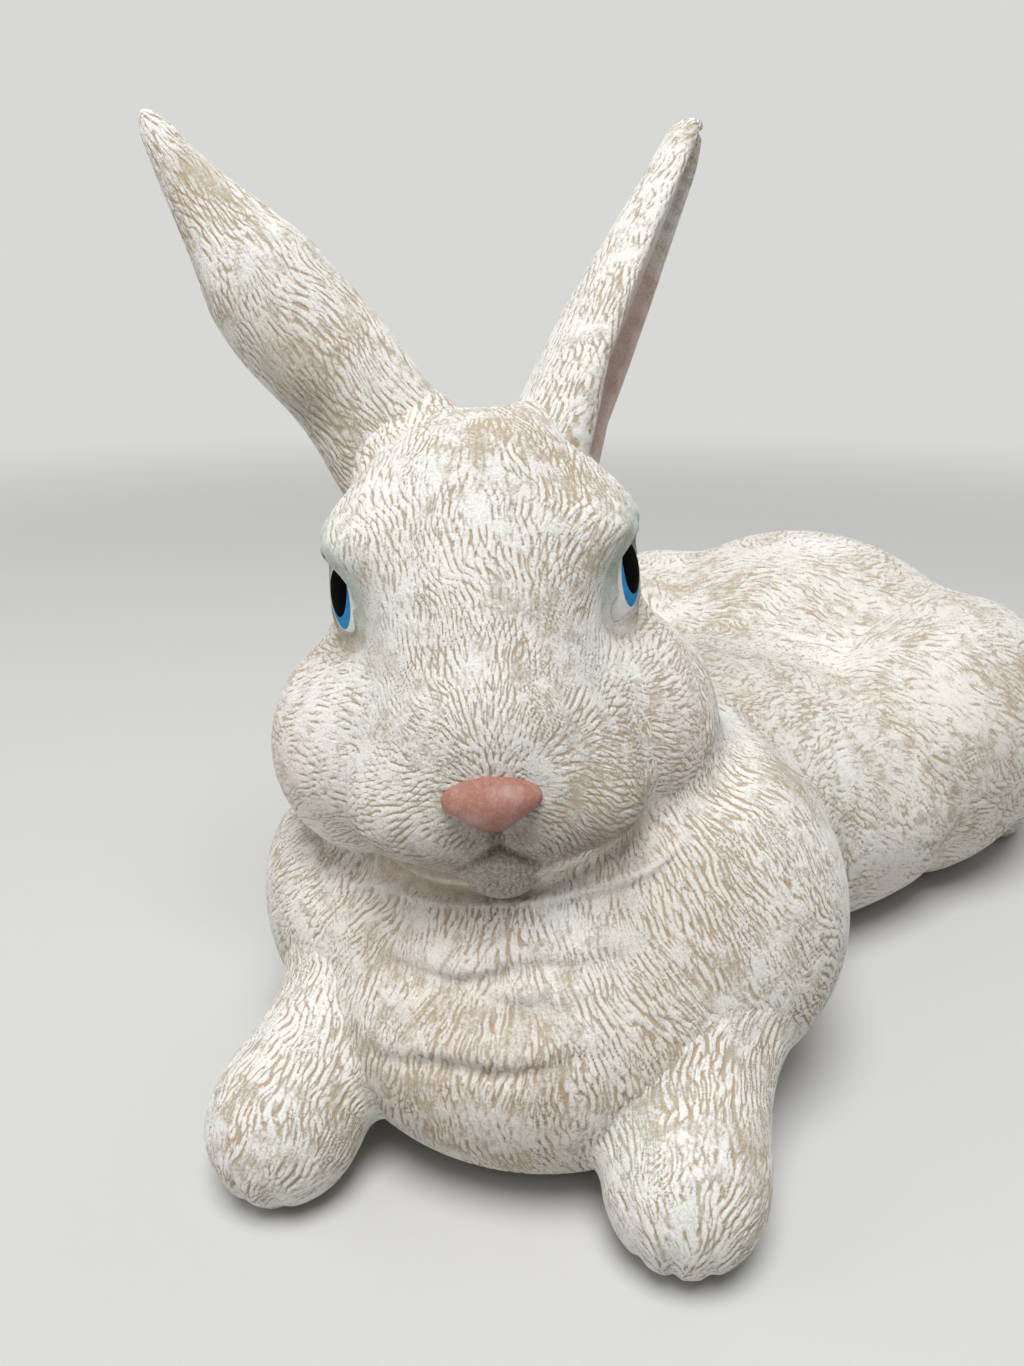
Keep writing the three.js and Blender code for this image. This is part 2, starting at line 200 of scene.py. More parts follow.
def limb(p, start, end, start_diameter, end_diameter):
    """A rounded rod whose thickness changes from one end to the other."""
    axis = end - start
    share = np.clip(((p - start) @ axis) / (axis @ axis), 0, 1)
    gap = np.linalg.norm(p - start - share[:, None] * axis, axis=1)
    return gap - (start_diameter + (end_diameter - start_diameter) * share) / 2


def join(softness, first, *others):
    """Masses run into one another over a soft fillet."""
    joined = first
    for other in others:
        share = np.clip(0.5 + 0.5 * (joined - other) / softness, 0, 1)
        joined = joined + (other - joined) * share - softness * share * (1 - share)
    return joined


def cut(softness, first, other):
    """What is inside both, with a softened edge."""
    return -join(softness, -first, -other)


def barrel_mass(p):
    """The ribs, belly and rump, without the haunches."""
    return join(HIND_RUN, lump(p, RIBS), lump(p, BELLY), lump(p, RUMP))


def trunk_mass(p, q):
    """The plain trunk: hindquarters in the body's frame and forequarters in theirs."""
    hind = join(HAUNCH_RUN, barrel_mass(p), lump(p, HAUNCH), lump(p, HAUNCH, -1))
    shoulders = lump(q, SHOULDER), lump(q, SHOULDER, -1)
    front = join(FRONT_RUN, lump(q, CHEST), lump(q, BREAST), *shoulders, lump(q, NECK))
    return join(HIND_RUN, hind, front)


def head_mass(h):
    """The plain head, in its own frame."""
    return join(
        HEAD_RUN, lump(h, CRANIUM), limb(h, *BRIDGE), lump(h, MUZZLE), lump(h, CHEEK), lump(h, CHEEK, -1),
        lump(h, BROW), lump(h, BROW, -1), lump(h, LIP), lump(h, LIP, -1), lump(h, CHIN),
    )


def crossing(field, start, ray):
    """The distance along each ray at which it leaves the shape."""
    near = np.zeros(len(ray))
    going = np.ones(len(ray), bool)
    while going.any():
        on = np.flatnonzero(going)
        inside = field(start + ray[on] * (near[on, None] + 4)) < 0
        near[on[inside]] += 4
        going[on[~inside]] = False
    far = near + 4
    for _ in range(9):
        middle = (near + far) / 2
        inside = field(start + ray * middle[:, None]) < 0
        near = np.where(inside, middle, near)
        far = np.where(inside, far, middle)
    return (near + far) / 2


def slope_of(field, p, value):
    step = 0.05
    return np.stack([(field(p + step * axis) - value) / step for axis in np.eye(3)], axis=1)


def settle(field, p, rounds=2):
    """Moves points onto the shape's surface."""
    for _ in range(rounds):
        value = field(p)
        slope = slope_of(field, p, value)
        size2 = np.maximum((slope * slope).sum(1), 0.04)
        p = p - slope * (np.clip(value, -2, 2) / size2)[:, None]
    return p


def wander(p, size, seed, waves=28):
    """Seeded soft noise, about -1 to 1, with blotches of about that size."""
    rng = np.random.default_rng(seed)
    ways = rng.normal(size=(waves, 3))
    ways *= (rng.uniform(0.7, 1.3, waves) * pi / size / np.linalg.norm(ways, axis=1))[:, None]
    shift = rng.uniform(0, 2 * pi, waves)
    total = np.zeros(len(p))
    for way, start in zip(ways, shift):
        total += np.cos(p @ way + start)
    return total / np.sqrt(waves / 2)


# Meshes


def skin_of(name, points, faces):
    """A mesh from points and a table of equal-sided faces."""
    faces = np.asarray(faces, np.int32)
    count, sides = faces.shape
    mesh = bpy.data.meshes.new(name)
    mesh.vertices.add(len(points))
    mesh.loops.add(count * sides)
    mesh.polygons.add(count)
    mesh.vertices.foreach_set("co", np.asarray(points, np.float32).ravel())
    mesh.loops.foreach_set("vertex_index", faces.ravel())
    mesh.polygons.foreach_set("loop_start", np.arange(count, dtype=np.int32) * sides)
    mesh.polygons.foreach_set("loop_total", np.full(count, sides, np.int32))
    mesh.update(calc_edges=True)
    mesh.validate()
    return mesh


def points_of(mesh):
    out = np.empty(len(mesh.vertices) * 3, np.float32)
    mesh.vertices.foreach_get("co", out)
    return out.reshape(-1, 3).astype(float)


def normals_of(mesh):
    out = np.empty(len(mesh.vertices) * 3, np.float32)
    mesh.vertices.foreach_get("normal", out)
    return out.reshape(-1, 3).astype(float)


def put_points(mesh, points):
    mesh.vertices.foreach_set("co", np.asarray(points, np.float32).ravel())
    mesh.update()


def note(mesh, name, values, kind):
    """Keeps a value for each point of the mesh as a named attribute."""
    layer = mesh.attributes.get(name) or mesh.attributes.new(name, kind, "POINT")
    field = {"FLOAT": "value", "FLOAT_VECTOR": "vector", "FLOAT_COLOR": "color"}[kind]
    layer.data.foreach_set(field, np.asarray(values, np.float32).ravel())


def put(mesh, name):
    piece = bpy.data.objects.new(name, mesh)
    bpy.context.scene.collection.objects.link(piece)
    return piece


def baked(piece):
    """Replaces the object's mesh by what its modifiers make of it."""
    graph = bpy.context.evaluated_depsgraph_get()
    made = bpy.data.meshes.new_from_object(piece.evaluated_get(graph))
    old = piece.data
    piece.modifiers.clear()
    piece.data = made
    made.name = piece.name
    bpy.data.meshes.remove(old)
    return made


def drop(piece):
    mesh = piece.data
    bpy.data.objects.remove(piece)
    bpy.data.meshes.remove(mesh)


def outward(mesh):
    """Turns the faces round where the mesh encloses a negative volume."""
    tool = bmesh.new()
    tool.from_mesh(mesh)
    if tool.calc_volume(signed=True) < 0:
        bmesh.ops.reverse_faces(tool, faces=tool.faces)
    tool.to_mesh(mesh)
    tool.free()
    mesh.update()


def weld(mesh):
    """Merges points that lie in one place, as at a rim or a tip, so that no face is left without area."""
    tool = bmesh.new()
    tool.from_mesh(mesh)
    bmesh.ops.remove_doubles(tool, verts=tool.verts, dist=1e-7)
    tool.to_mesh(mesh)
    tool.free()
    mesh.update()


def ball(level):
    tool = bmesh.new()
    bmesh.ops.create_icosphere(tool, subdivisions=level, radius=1)
    points = np.array([v.co for v in tool.verts])
    faces = np.array([[v.index for v in f.verts] for f in tool.faces])
    tool.free()
    return points, faces


def neighbours(mesh):
    """For each point, a table of the points it shares an edge with, and which entries are real."""
    edges = np.empty(len(mesh.edges) * 2, np.int32)
    mesh.edges.foreach_get("vertices", edges)
    edges = edges.reshape(-1, 2)
    count = len(mesh.vertices)
    start = np.concatenate((edges[:, 0], edges[:, 1]))
    end = np.concatenate((edges[:, 1], edges[:, 0]))
    order = np.argsort(start, kind="stable")
    start, end = start[order], end[order]
    first = np.searchsorted(start, np.arange(count))
    entry = np.arange(len(start)) - first[start]
    table = np.repeat(np.arange(count)[:, None], entry.max() + 1, axis=1)
    real = np.zeros(table.shape, np.float32)
    table[start, entry] = end
    real[start, entry] = 1
    return table, real


def fineness(kind):
    fine, quick = FINENESS[kind]
    return fine


def cast(name, field, centre, spread, voxel, look_from=None):
    """A skin over a field: a ball wrapped onto it, made even and settled on the surface.

    look_from is a far point, and the skin is finer on the side that faces it."""
    points, faces = ball(6)
    ray = points * spread
    ray /= np.linalg.norm(ray, axis=1)[:, None]
    centre = np.asarray(centre, float)
    skin = centre + ray * crossing(field, centre, ray)[:, None]
    if look_from is not None:
        far = np.asarray(look_from, float)
        reach2 = ((skin - far) ** 2).sum(1).min()

        def graded(p):
            away = p - far
            return far + away * (reach2 / (away * away).sum(1))[:, None]

        skin = graded(skin)
    piece = put(skin_of(name, skin, faces), name)
    remesh = piece.modifiers.new("Even skin", "REMESH")
    remesh.mode = "VOXEL"
    remesh.voxel_size = voxel
    mesh = baked(piece)
    skin = points_of(mesh)
    if look_from is not None:
        skin = graded(skin)
    table, real = neighbours(mesh)
    share = real / real.sum(1)[:, None]
    for _ in range(3):
        mean = (skin[table] * share[:, :, None]).sum(1)
        skin = skin + 0.5 * (mean - skin)
        skin = settle(field, skin, 1)
    skin = settle(field, skin, 1)
    put_points(mesh, skin)
    outward(mesh)
    return piece, skin, table, real


# Fur: carved strokes that follow a flow over the skin. Two families of strokes cross at a narrow angle,
# and the share of the second one sets how far it breaks the grooves of the first into dashes
CROSSING = 0.46

# Share of the thin brush marks that run between the grooves at twice their number
FINE_STROKES = 0.7

# How far a groove runs from its edge to its full depth, as a share of a ridge's height
GROOVE_RUN = 0.8


def combed(points, normals, way, pitch, table, real, rounds, seed):
    """Stroke phase for each point, as cosine, sine and how well the strokes agree there.

    Neighbouring points agree on a phase that advances by one turn per pitch across the strokes."""
    across = np.cross(normals, way) * (2 * pi / np.broadcast_to(pitch, len(points)))[:, None]
    spin = np.zeros(table.shape, np.complex64)
    most = np.full(len(points), 0.4)
    for i in range(table.shape[1]):
        step = points[table[:, i]] - points
        turn = (0.5 * (across + across[table[:, i]]) * step).sum(1)
        length = np.maximum(np.linalg.norm(step, axis=1), 1e-6)
        pull = real[:, i] * (0.35 + ((way * step).sum(1) / length) ** 2)
        spin[:, i] = np.exp(-1j * turn) * pull
        most += pull
    rng = np.random.default_rng(seed)
    phase = np.exp(2j * pi * rng.random(len(points))).astype(np.complex64)
    agree = most
    for _ in range(rounds):
        fresh = 0.4 * phase
        for i in range(table.shape[1]):
            fresh = fresh + phase[table[:, i]] * spin[:, i]
        agree = np.abs(fresh)
        phase = fresh / np.maximum(agree, 1e-6)
    return phase.real, phase.imag, ramp(agree / most, 0.3, 0.85)


class Wash:
    """Thin washes of colour laid over one another, for each point."""

    def __init__(self, count):
        self.colour = np.zeros((count, 3))
        self.cover = np.zeros(count)

    def lay(self, colour, amount):
        amount = np.clip(amount, 0, 1)
        total = amount + self.cover * (1 - amount)
        kept = np.where(total > 1e-6, amount / np.maximum(total, 1e-6), 0)
        self.colour += (np.array(colour[:3]) - self.colour) * kept[:, None]
        self.cover = total

    def values(self):
        return np.column_stack((self.colour, self.cover))


class Nodes:
    """A short hand for building a node tree."""

    def __init__(self, tree):
        self.tree = tree

    def node(self, kind, **settings):
        made = self.tree.nodes.new(kind)
        for key, value in settings.items():
            setattr(made, key, value)
        return made

    def feed(self, socket, value):
        if isinstance(value, bpy.types.NodeSocket):
            self.tree.links.new(value, socket)
        else:
            socket.default_value = value

    def math(self, operation, a, b=0.0):
        made = self.node("ShaderNodeMath", operation=operation)
        self.feed(made.inputs[0], a)
        self.feed(made.inputs[1], b)
        return made.outputs[0]

    def span(self, value, low, high, to_low=0.0, to_high=1.0):
        made = self.node("ShaderNodeMapRange", interpolation_type="SMOOTHSTEP")
        names = ("Value", "From Min", "From Max", "To Min", "To Max")
        for name, item in zip(names, (value, low, high, to_low, to_high)):
            self.feed(made.inputs[name], item)
        return made.outputs["Result"]

    def seen_rays(self):
        """1 for rays from the camera, by way of gloss and glass too."""
        path = self.node("ShaderNodeLightPath").outputs
        seen = self.math("MAXIMUM", path["Is Glossy Ray"], path["Is Transmission Ray"])
        return self.math("MAXIMUM", path["Is Camera Ray"], seen)

    def blend(self, share, first, second):
        made = self.node("ShaderNodeMixShader")
        for socket, value in zip(made.inputs, (share, first, second)):
            self.feed(socket, value)
        return made.outputs[0]


def carving_tree():
    """Carves the strokes into a skin: grooves go in along the normal, ridges stay."""
    old = bpy.data.node_groups.get("Fur carving")
    if old:
        return old
    tree = bpy.data.node_groups.new("Fur carving", "GeometryNodeTree")
    for name, way, kind in (
        ("Skin", "INPUT", "Geometry"), ("Groove depth", "INPUT", "Float"),
        ("Groove start", "INPUT", "Float"), ("Paint", "INPUT", "Material"),
        ("Carved", "OUTPUT", "Geometry"),
    ):
        tree.interface.new_socket(name, in_out=way, socket_type="NodeSocket" + kind)
    build = Nodes(tree)
    inside = build.node("NodeGroupInput").outputs

    def named(name, kind):
        made = build.node("GeometryNodeInputNamedAttribute", data_type=kind)
        made.inputs["Name"].default_value = name
        return made.outputs["Attribute"]

    def strokes(name):
        made = build.node("ShaderNodeSeparateXYZ")
        build.feed(made.inputs[0], named(name, "FLOAT_VECTOR"))
        return made.outputs

    comb, cross = strokes("comb"), strokes("cross")
    both = build.node("ShaderNodeMix", data_type="FLOAT")
    both.inputs["Factor"].default_value = CROSSING
    build.feed(both.inputs["A"], comb["X"])
    build.feed(both.inputs["B"], cross["X"])
    valley = build.math("MULTIPLY", both.outputs[0], -1)
    full = build.math("ADD", inside["Groove start"], GROOVE_RUN)
    groove = build.span(valley, inside["Groove start"], full)
    worn = build.math("MULTIPLY", build.math("MULTIPLY", groove, comb["Z"]), named("fur", "FLOAT"))
    depth = build.math("MULTIPLY", worn, inside["Groove depth"])
    push = build.node("ShaderNodeVectorMath", operation="SCALE")
    build.feed(push.inputs[0], build.node("GeometryNodeInputNormal").outputs["Normal"])
    build.feed(push.inputs["Scale"], build.math("MULTIPLY", depth, -1))
    skin = inside["Skin"]
    for kind in ("SetPosition", "SetShadeSmooth", "RealizeInstances", "SetMaterial"):
        made = build.node("GeometryNode" + kind)
        build.feed(made.inputs["Geometry"], skin)
        skin = made.outputs["Geometry"]
        if kind == "SetPosition":
            build.feed(made.inputs["Offset"], push.outputs["Vector"])
        if kind == "SetMaterial":
            build.feed(made.inputs["Material"], inside["Paint"])
    build.feed(build.node("NodeGroupOutput").inputs["Carved"], skin)
    return tree


def carve(piece, depth, start, paint):
    """Runs the carving on a finished skin, in metres, and keeps the result as a plain mesh."""
    tree = carving_tree()
    carver = piece.modifiers.new("Fur carving", "NODES")
    carver.node_group = tree
    names = {item.name: item.identifier for item in tree.interface.items_tree if item.in_out == "INPUT"}
    carver[names["Groove depth"]] = depth
    carver[names["Groove start"]] = start
    carver[names["Paint"]] = paint
    mesh = baked(piece)
    if not mesh.materials:
        mesh.materials.append(paint)
    return mesh


def furred(piece, points, table, real, flow, pitch, tilt, fur, wash, depth, seed, rounds=32):
    """Combs and carves a skin that is in millimetres in the body's frame, and moves it to the row.

    Two families of strokes cross at twice the tilt, so that each groove is a short dash."""
    mesh = piece.data
    normals = normals_of(mesh)
    along = flow - normals * (flow * normals).sum(1)[:, None]
    along /= np.maximum(np.linalg.norm(along, axis=1), 1e-6)[:, None]
    across = np.cross(normals, along)
    sway = radians(11) * wander(points, 13, seed + 5)
    uneven = pitch * (1 + 0.16 * wander(points, 7, seed + 6))
    families = []
    for index, side in enumerate((1, -1)):
        turn = radians(tilt) * side + sway
        way = along * np.cos(turn)[:, None] + across * np.sin(turn)[:, None]
        spacing = uneven * (1 - 0.1 * index)
        families.append(combed(points, normals, way, spacing, table, real, rounds, seed + index))
    strokes = []
    for index, (x, y, agree) in enumerate(families):
        stray = 1.5 * wander(points, 6, seed + 20 + index) + 0.6 * wander(points, 2.4, seed + 30 + index)
        c, s = np.cos(stray), np.sin(stray)
        strokes.append((x * c - y * s, x * s + y * c, agree))
    (x, y, agree), (cross_x, cross_y, cross_agree) = strokes
    worn = ramp(wander(points, 4, seed + 2) + 0.6 * wander(points, 15, seed + 3), -1.5, 0.4)
    firm = np.minimum(agree, cross_agree) * (0.25 + 0.75 * worn)
    note(mesh, "comb", np.column_stack((x, y, firm)), "FLOAT_VECTOR")
    note(mesh, "cross", np.column_stack((cross_x, cross_y, firm)), "FLOAT_VECTOR")
    note(mesh, "fur", fur, "FLOAT")
    note(mesh, "wash", wash.values(), "FLOAT_COLOR")
    put_points(mesh, (points + TO_ROW) * MM)
    carve(piece, depth, 0.0, fur_paint())
    return piece


def above_floor(p):
    """1 where fur is carved, fading out at the floor."""
    return ramp(p[:, 2], 0.8, 3.5)


def near_floor(p):
    """How far bare clay shows through along the floor."""
    return 0.5 * (1 - ramp(p[:, 2], 0.5, 6))


def belongs(piece, nodes):
    """Shades a finished piece smoothly, hides the parts it stands for and hangs it under the root."""
    faces = piece.data.polygons
    faces.foreach_set("use_smooth", np.ones(len(faces), bool))
    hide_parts(*nodes)
    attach(piece, "root")
    return piece


# Materials


def colours():
    return bpy.context.scene.rabbit_colours


def sizes():
    return bpy.context.scene.rabbit_sizes


def rgb(name):
    return tuple(getattr(colours(), name))[:3]


class Paint(Nodes):
    """One node material, with what the paints share."""

    def __init__(self, name):
        self.made = bpy.data.materials.new(name)
        self.made.use_nodes = True
        super().__init__(self.made.node_tree)
        self.shader = self.tree.nodes["Principled BSDF"]

    def mix(self, share, a, b):
        made = self.node("ShaderNodeMix", data_type="RGBA")
        self.feed(made.inputs["Factor"], share)
        self.feed(made.inputs[6], a if isinstance(a, bpy.types.NodeSocket) else (*a[:3], 1))
        self.feed(made.inputs[7], b if isinstance(b, bpy.types.NodeSocket) else (*b[:3], 1))
        return made.outputs[2]

    def spots(self, place, size, detail=2.0, roughness=0.5):
        """Noise in metres: blotches of about that size, 0 to 1."""
        made = self.node("ShaderNodeTexNoise")
        self.feed(made.inputs["Vector"], place)
        made.inputs["Scale"].default_value = 1 / size
        made.inputs["Detail"].default_value = detail
        made.inputs["Roughness"].default_value = roughness
        return made.outputs["Fac"]

    def place(self):
        return self.node("ShaderNodeTexCoord").outputs["Object"]

    def attribute(self, name):
        return self.node("ShaderNodeAttribute", attribute_type="GEOMETRY", attribute_name=name)

    def bump(self, height, strength, distance):
        made = self.node("ShaderNodeBump")
        made.inputs["Strength"].default_value = strength
        made.inputs["Distance"].default_value = distance
        self.feed(made.inputs["Height"], height)
        self.feed(self.shader.inputs["Normal"], made.outputs["Normal"])


def fur_paint():
    """Tan earthenware with white brushed over the ridges, and thin washes of colour."""
    old = bpy.data.materials.get("Brushed fur")
    if old:
        return old
    paint = Paint("Brushed fur")
    place = paint.place()
    ridge = 0.0
    for name, share in (("comb", 1 - CROSSING), ("cross", CROSSING)):
        parts = paint.node("ShaderNodeSeparateXYZ")
        paint.feed(parts.inputs[0], paint.attribute(name).outputs["Vector"])
        x, y = parts.outputs["X"], parts.outputs["Y"]
        square = paint.math("ADD", paint.math("MULTIPLY", x, x), paint.math("MULTIPLY", y, y))
        crisp = paint.math("DIVIDE", x, paint.math("MAXIMUM", paint.math("SQRT", square), 0.05))
        crisp2 = paint.math("MULTIPLY", crisp, crisp)
        fine = paint.math("SUBTRACT", 1.0, paint.math("MULTIPLY", 2.0, crisp2))
        both = paint.math("ADD", crisp, paint.math("MULTIPLY", fine, FINE_STROKES))
        ridge = paint.math("ADD", ridge, paint.math("MULTIPLY", both, share))
    firm = paint.math("MULTIPLY", parts.outputs["Z"], paint.attribute("fur").outputs["Fac"])
    stroke = paint.math("MULTIPLY", ridge, firm)
    patch = paint.spots(place, 0.022, 2.0)
    blotch = paint.spots(place, 0.004, 3.0, 0.6)
    grain = paint.spots(place, 0.0008, 4.0, 0.75)
    level = stroke
    for spots, amount in ((patch, 2.0), (blotch, 2.6), (grain, 2.5)):
        level = paint.math("ADD", level, paint.math("MULTIPLY", paint.math("SUBTRACT", spots, 0.5), amount))
    cover = paint.span(level, -0.95, 0.3)
    tan = paint.mix(paint.span(blotch, 0.35, 0.7), rgb("tan"), rgb("ochre"))
    colour = paint.mix(cover, tan, rgb("white"))
    wash = paint.attribute("wash")
    share = paint.math("MULTIPLY", wash.outputs["Alpha"], paint.span(grain, 0.3, 0.65, 0.5, 1.0))
    colour = paint.mix(share, colour, wash.outputs["Color"])
    speck = paint.span(paint.spots(place, 0.00045, 2.0, 0.7), 0.32, 0.6, 0.22, 0.0)
    colour = paint.mix(speck, colour, rgb("stain_and_shade"))
    paint.feed(paint.shader.inputs["Base Color"], colour)
    paint.feed(paint.shader.inputs["Roughness"], paint.span(grain, 0.2, 0.8, 0.72, 0.9))
    paint.shader.inputs["Specular IOR Level"].default_value = 0.3
    height = paint.math("ADD", paint.math("MULTIPLY", cover, 0.4), paint.math("MULTIPLY", grain, 0.8))
    paint.bump(height, 0.8, 0.0005)
    return paint.made


def grainy_paint(name, colour, dark, size, roughness):
    """A matte tint with a fine grain that lets the clay show through."""
    paint = Paint(name)
    place = paint.place()
    grain = paint.spots(place, size, 3.0, 0.7)
    patch = paint.spots(place, 0.008, 2.0)
    colour = paint.mix(paint.span(grain, 0.35, 0.75), dark, colour)
    colour = paint.mix(paint.span(patch, 0.4, 0.8, 0.0, 0.35), colour, rgb("white"))
    wash = paint.attribute("wash")
    colour = paint.mix(wash.outputs["Alpha"], colour, wash.outputs["Color"])
    paint.feed(paint.shader.inputs["Base Color"], colour)
    rough = paint.span(grain, 0.2, 0.8, roughness - 0.08, roughness + 0.08)
    paint.feed(paint.shader.inputs["Roughness"], rough)
    paint.shader.inputs["Specular IOR Level"].default_value = 0.3
    paint.bump(grain, 0.45, 0.0003)
    return paint.made


def glossy_paint(name, colour, shade):
    """Enamel under a clear gloss, with brush streaks in the colour."""
    paint = Paint(name)
    streak = paint.spots(paint.place(), 0.0016, 3.0, 0.6)
    paint.feed(paint.shader.inputs["Base Color"], paint.mix(paint.span(streak, 0.3, 0.75), shade, colour))
    paint.shader.inputs["Roughness"].default_value = 0.08
    paint.shader.inputs["Specular IOR Level"].default_value = 0.0
    paint.shader.inputs["Coat Weight"].default_value = 0.04
    paint.shader.inputs["Coat Roughness"].default_value = 0.03
    return paint.made


# The trunk


# Folds across the breast: height and slope of the crease, its middle, reach to each side and depth
FOLDS = (
    (57.2, 0.155, -4, 22, 1.4), (53.6, 0.155, 0, 9, 0.8), (50.4, 0.1, 7, 8, 0.9), (41.3, 0.14, -5, 19, 1.5),
)


def throat(h):
    """Where the throat shows under the jaw, the gap to the head and the gap at which its ridge runs."""
    shown = ramp(-h[:, 1], 20, 34) * ramp(-h[:, 2], 12, 26) * (1 - ramp(np.abs(h[:, 0]), 34, 44))
    gap = head_mass(h)
    return shown, gap, np.minimum(2.6 + 0.0045 * h[:, 0] ** 2, 7.5)


def trunk_form(p):
    """The trunk with its throat, folds, sunk back, foot and pour hole."""
    q = FORE.local(p)
    h = SKULL_PLACE.local(p)
    plain = trunk_mass(p, q)
    shown, gap, ridge = throat(h)
    jaw = bell(np.maximum(gap, 0), 11) * ramp(np.abs(h[:, 0]), 22, 36) * ramp(-h[:, 2], 4, 20)
    plain = plain + JAW_RECESS * jaw * (1 - ramp(h[:, 1], 8, 28))
    sag = BACK_SAG - RUMP_RISE * ramp(p[:, 1], 110, 180)
    plain = plain + sag * ramp(p[:, 2], 58, 98) * ramp(p[:, 1], -30, 15)
    flank = bell(p[:, 2] - 4, 16) * bell(p[:, 1] - 75, 45) * ramp(np.abs(p[:, 0]), 25, 50)
    plain = plain - FLANK_FILL * flank
    plain = plain + CHIN_RECESS * bell(reach_to(h, (1, -44, -42)), 10)
    nape = 3 + 12 * ramp(h[:, 1], 0, 32)
    form = join(nape, plain, np.maximum(gap + 1.2, plain - 7))
    form = form - THROAT_RIDGE * bell(gap - ridge, 0.9) * shown
    chest = ramp(-q[:, 1], 50, 75)
    for height, tilt, middle, reach, depth in FOLDS:
        off = q[:, 2] - (height + tilt * q[:, 0] + 0.8 * np.sin(q[:, 0] / 5 + height))
        across = bell(q[:, 0] - middle, reach) * chest
        form = form + depth * (bell(off + 0.9, 2.0) - 0.9 * bell(off - 3.2, 3.0)) * across
    barrel = barrel_mass(p)
    for side in (1, -1):
        thigh = lump(p, HAUNCH, side)
        form = form + HAUNCH_CREASE * bell(thigh - barrel, 4.0) * ramp(-p[:, 1], -150, -120)
    form = cut(FOOT_EDGE, form, -p[:, 2])
    x, y, radius = POUR_HOLE
    hole = np.maximum(np.hypot(p[:, 0] - x, p[:, 1] - y) - radius, p[:, 2] - POUR_HOLE_DEPTH)
    return cut(1.5, form, -hole)


def trunk_flow(p, normals):
    """Down the chest, back along the trunk and down over the haunches."""
    q = FORE.local(p)
    back = np.zeros_like(p)
    back[:, 1] = 1.0
    back[:, 2] = -0.25 - 0.5 * ramp(np.abs(p[:, 0]), 40, 95)
    forward = ramp(-normals[:, 1], 0.0, 0.55)[:, None]
    drop_way = np.column_stack((np.sign(p[:, 0]), np.zeros(len(p)), np.full(len(p), -0.35)))
    back = back * (1 - forward) + drop_way * forward
    down = np.zeros_like(q)
    down[:, 0] = 0.012 * q[:, 0]
    down[:, 1] = -0.15
    down[:, 2] = -1.0
    down = down @ FORE.axes.T
    front = ramp(-q[:, 1], -6, 38)[:, None]
    return back * (1 - front) + down * front


def level_foot(piece):
    """Swaps the many small faces of the flat foot for a few large ones."""
    whole = bmesh.new()
    whole.from_mesh(piece.data)
    foot = [f for f in whole.faces if f.normal.z < -0.9 and f.calc_center_median().z < 0.0006]
    bmesh.ops.delete(whole, geom=foot, context="FACES")
    rim = [e for e in whole.edges if e.is_boundary]
    bmesh.ops.triangle_fill(whole, use_beauty=True, edges=rim, normal=(0, 0, -1))
    whole.to_mesh(piece.data)
    whole.free()


def parted(piece, names, across, cuts):
    """Parts a carved piece at planes across one direction, in metres along it, and closes each part."""
    across = Vector(across)
    parts = []
    edges = [None, *cuts, None]
    for name, low, high in zip(names, edges, edges[1:]):
        tool = bmesh.new()
        tool.from_mesh(piece.data)
        for edge, way in ((low, -across), (high, across)):
            if edge is None:
                continue
            everything = [*tool.verts, *tool.edges, *tool.faces]
            bmesh.ops.bisect_plane(
                tool, geom=everything, dist=2e-5, plane_co=across * edge, plane_no=way, clear_outer=True,
            )
            rim = [e for e in tool.edges if e.is_boundary]
            for e in rim:
                e.smooth = False
            lid = bmesh.ops.triangle_fill(tool, use_beauty=False, edges=rim, normal=way)["geom"]
            for f in lid:
                if isinstance(f, bmesh.types.BMFace) and f.normal.dot(way) < 0:
                    f.normal_flip()
        part = bpy.data.meshes.new(name)
        tool.to_mesh(part)
        tool.free()
        part.materials.append(fur_paint())
        parts.append(put(part, name))
    drop(piece)
    return parts


def make_trunk():
    fine = fineness("trunk")
    piece, p, table, real = cast("trunk", trunk_form, (0, 62, 48), (1, 2, 0.9), fine, (150, -900, 250))
    q = FORE.local(p)
    h = SKULL_PLACE.local(p)
    shown, gap, ridge = throat(h)
    band = (1 - ramp(gap - ridge, -1.6, -0.7)) * shown * (1 - 0.85 * ramp(h[:, 0], 4, 20))
    crest = bell(gap - ridge, 0.9) * shown
    back = ramp(p[:, 1], -60, 120)
    fur = above_floor(p) * (1 - band) * (1 - 0.8 * crest) * (1 - 0.4 * ramp(p[:, 1], -40, 60))
    wash = Wash(len(p))
    wash.lay(rgb("ochre"), 0.5 * band)
    wash.lay(rgb("white"), 0.9 * crest)
    # Painted shade: dark brown in the narrow crease where the throat tucks under the jaw
    wash.lay(rgb("stain_and_shade"), 0.35 * bell(gap - 0.6, 1.2) * shown)
    for height, tilt, middle, reach, depth in FOLDS:
        off = q[:, 2] - (height + tilt * q[:, 0])
        across = bell(q[:, 0] - middle, reach) * ramp(-q[:, 1], 50, 75)
        wash.lay(rgb("white"), 0.35 * bell(off - 2.5, 2.0) * across)
    wash.lay(rgb("tan"), near_floor(p))
    breast = ramp(-q[:, 1], 40, 66) * bell(q[:, 0], 52) * ramp(wander(p, 16, 17), -1.6, 0.8)
    wash.lay(rgb("ochre"), 0.3 * breast)
    wash.lay(rgb("tan"), 0.16 * ramp(p[:, 1], -20, 40) * ramp(wander(p, 24, 18), -1.4, 1.0))
    flow = trunk_flow(p, normals_of(piece.data))
    furred(piece, p, table, real, flow, 1.9 + 0.9 * back, 6, fur, wash, sizes().groove_depth, 11)
    level_foot(piece)
    names = ("trunk_breast", "trunk_shoulders", "trunk_barrel", "trunk_haunches")
    for part in parted(piece, names, (0, 1, 0), TRUNK_CUTS):
        belongs(part, ("body_shell",))


# The head


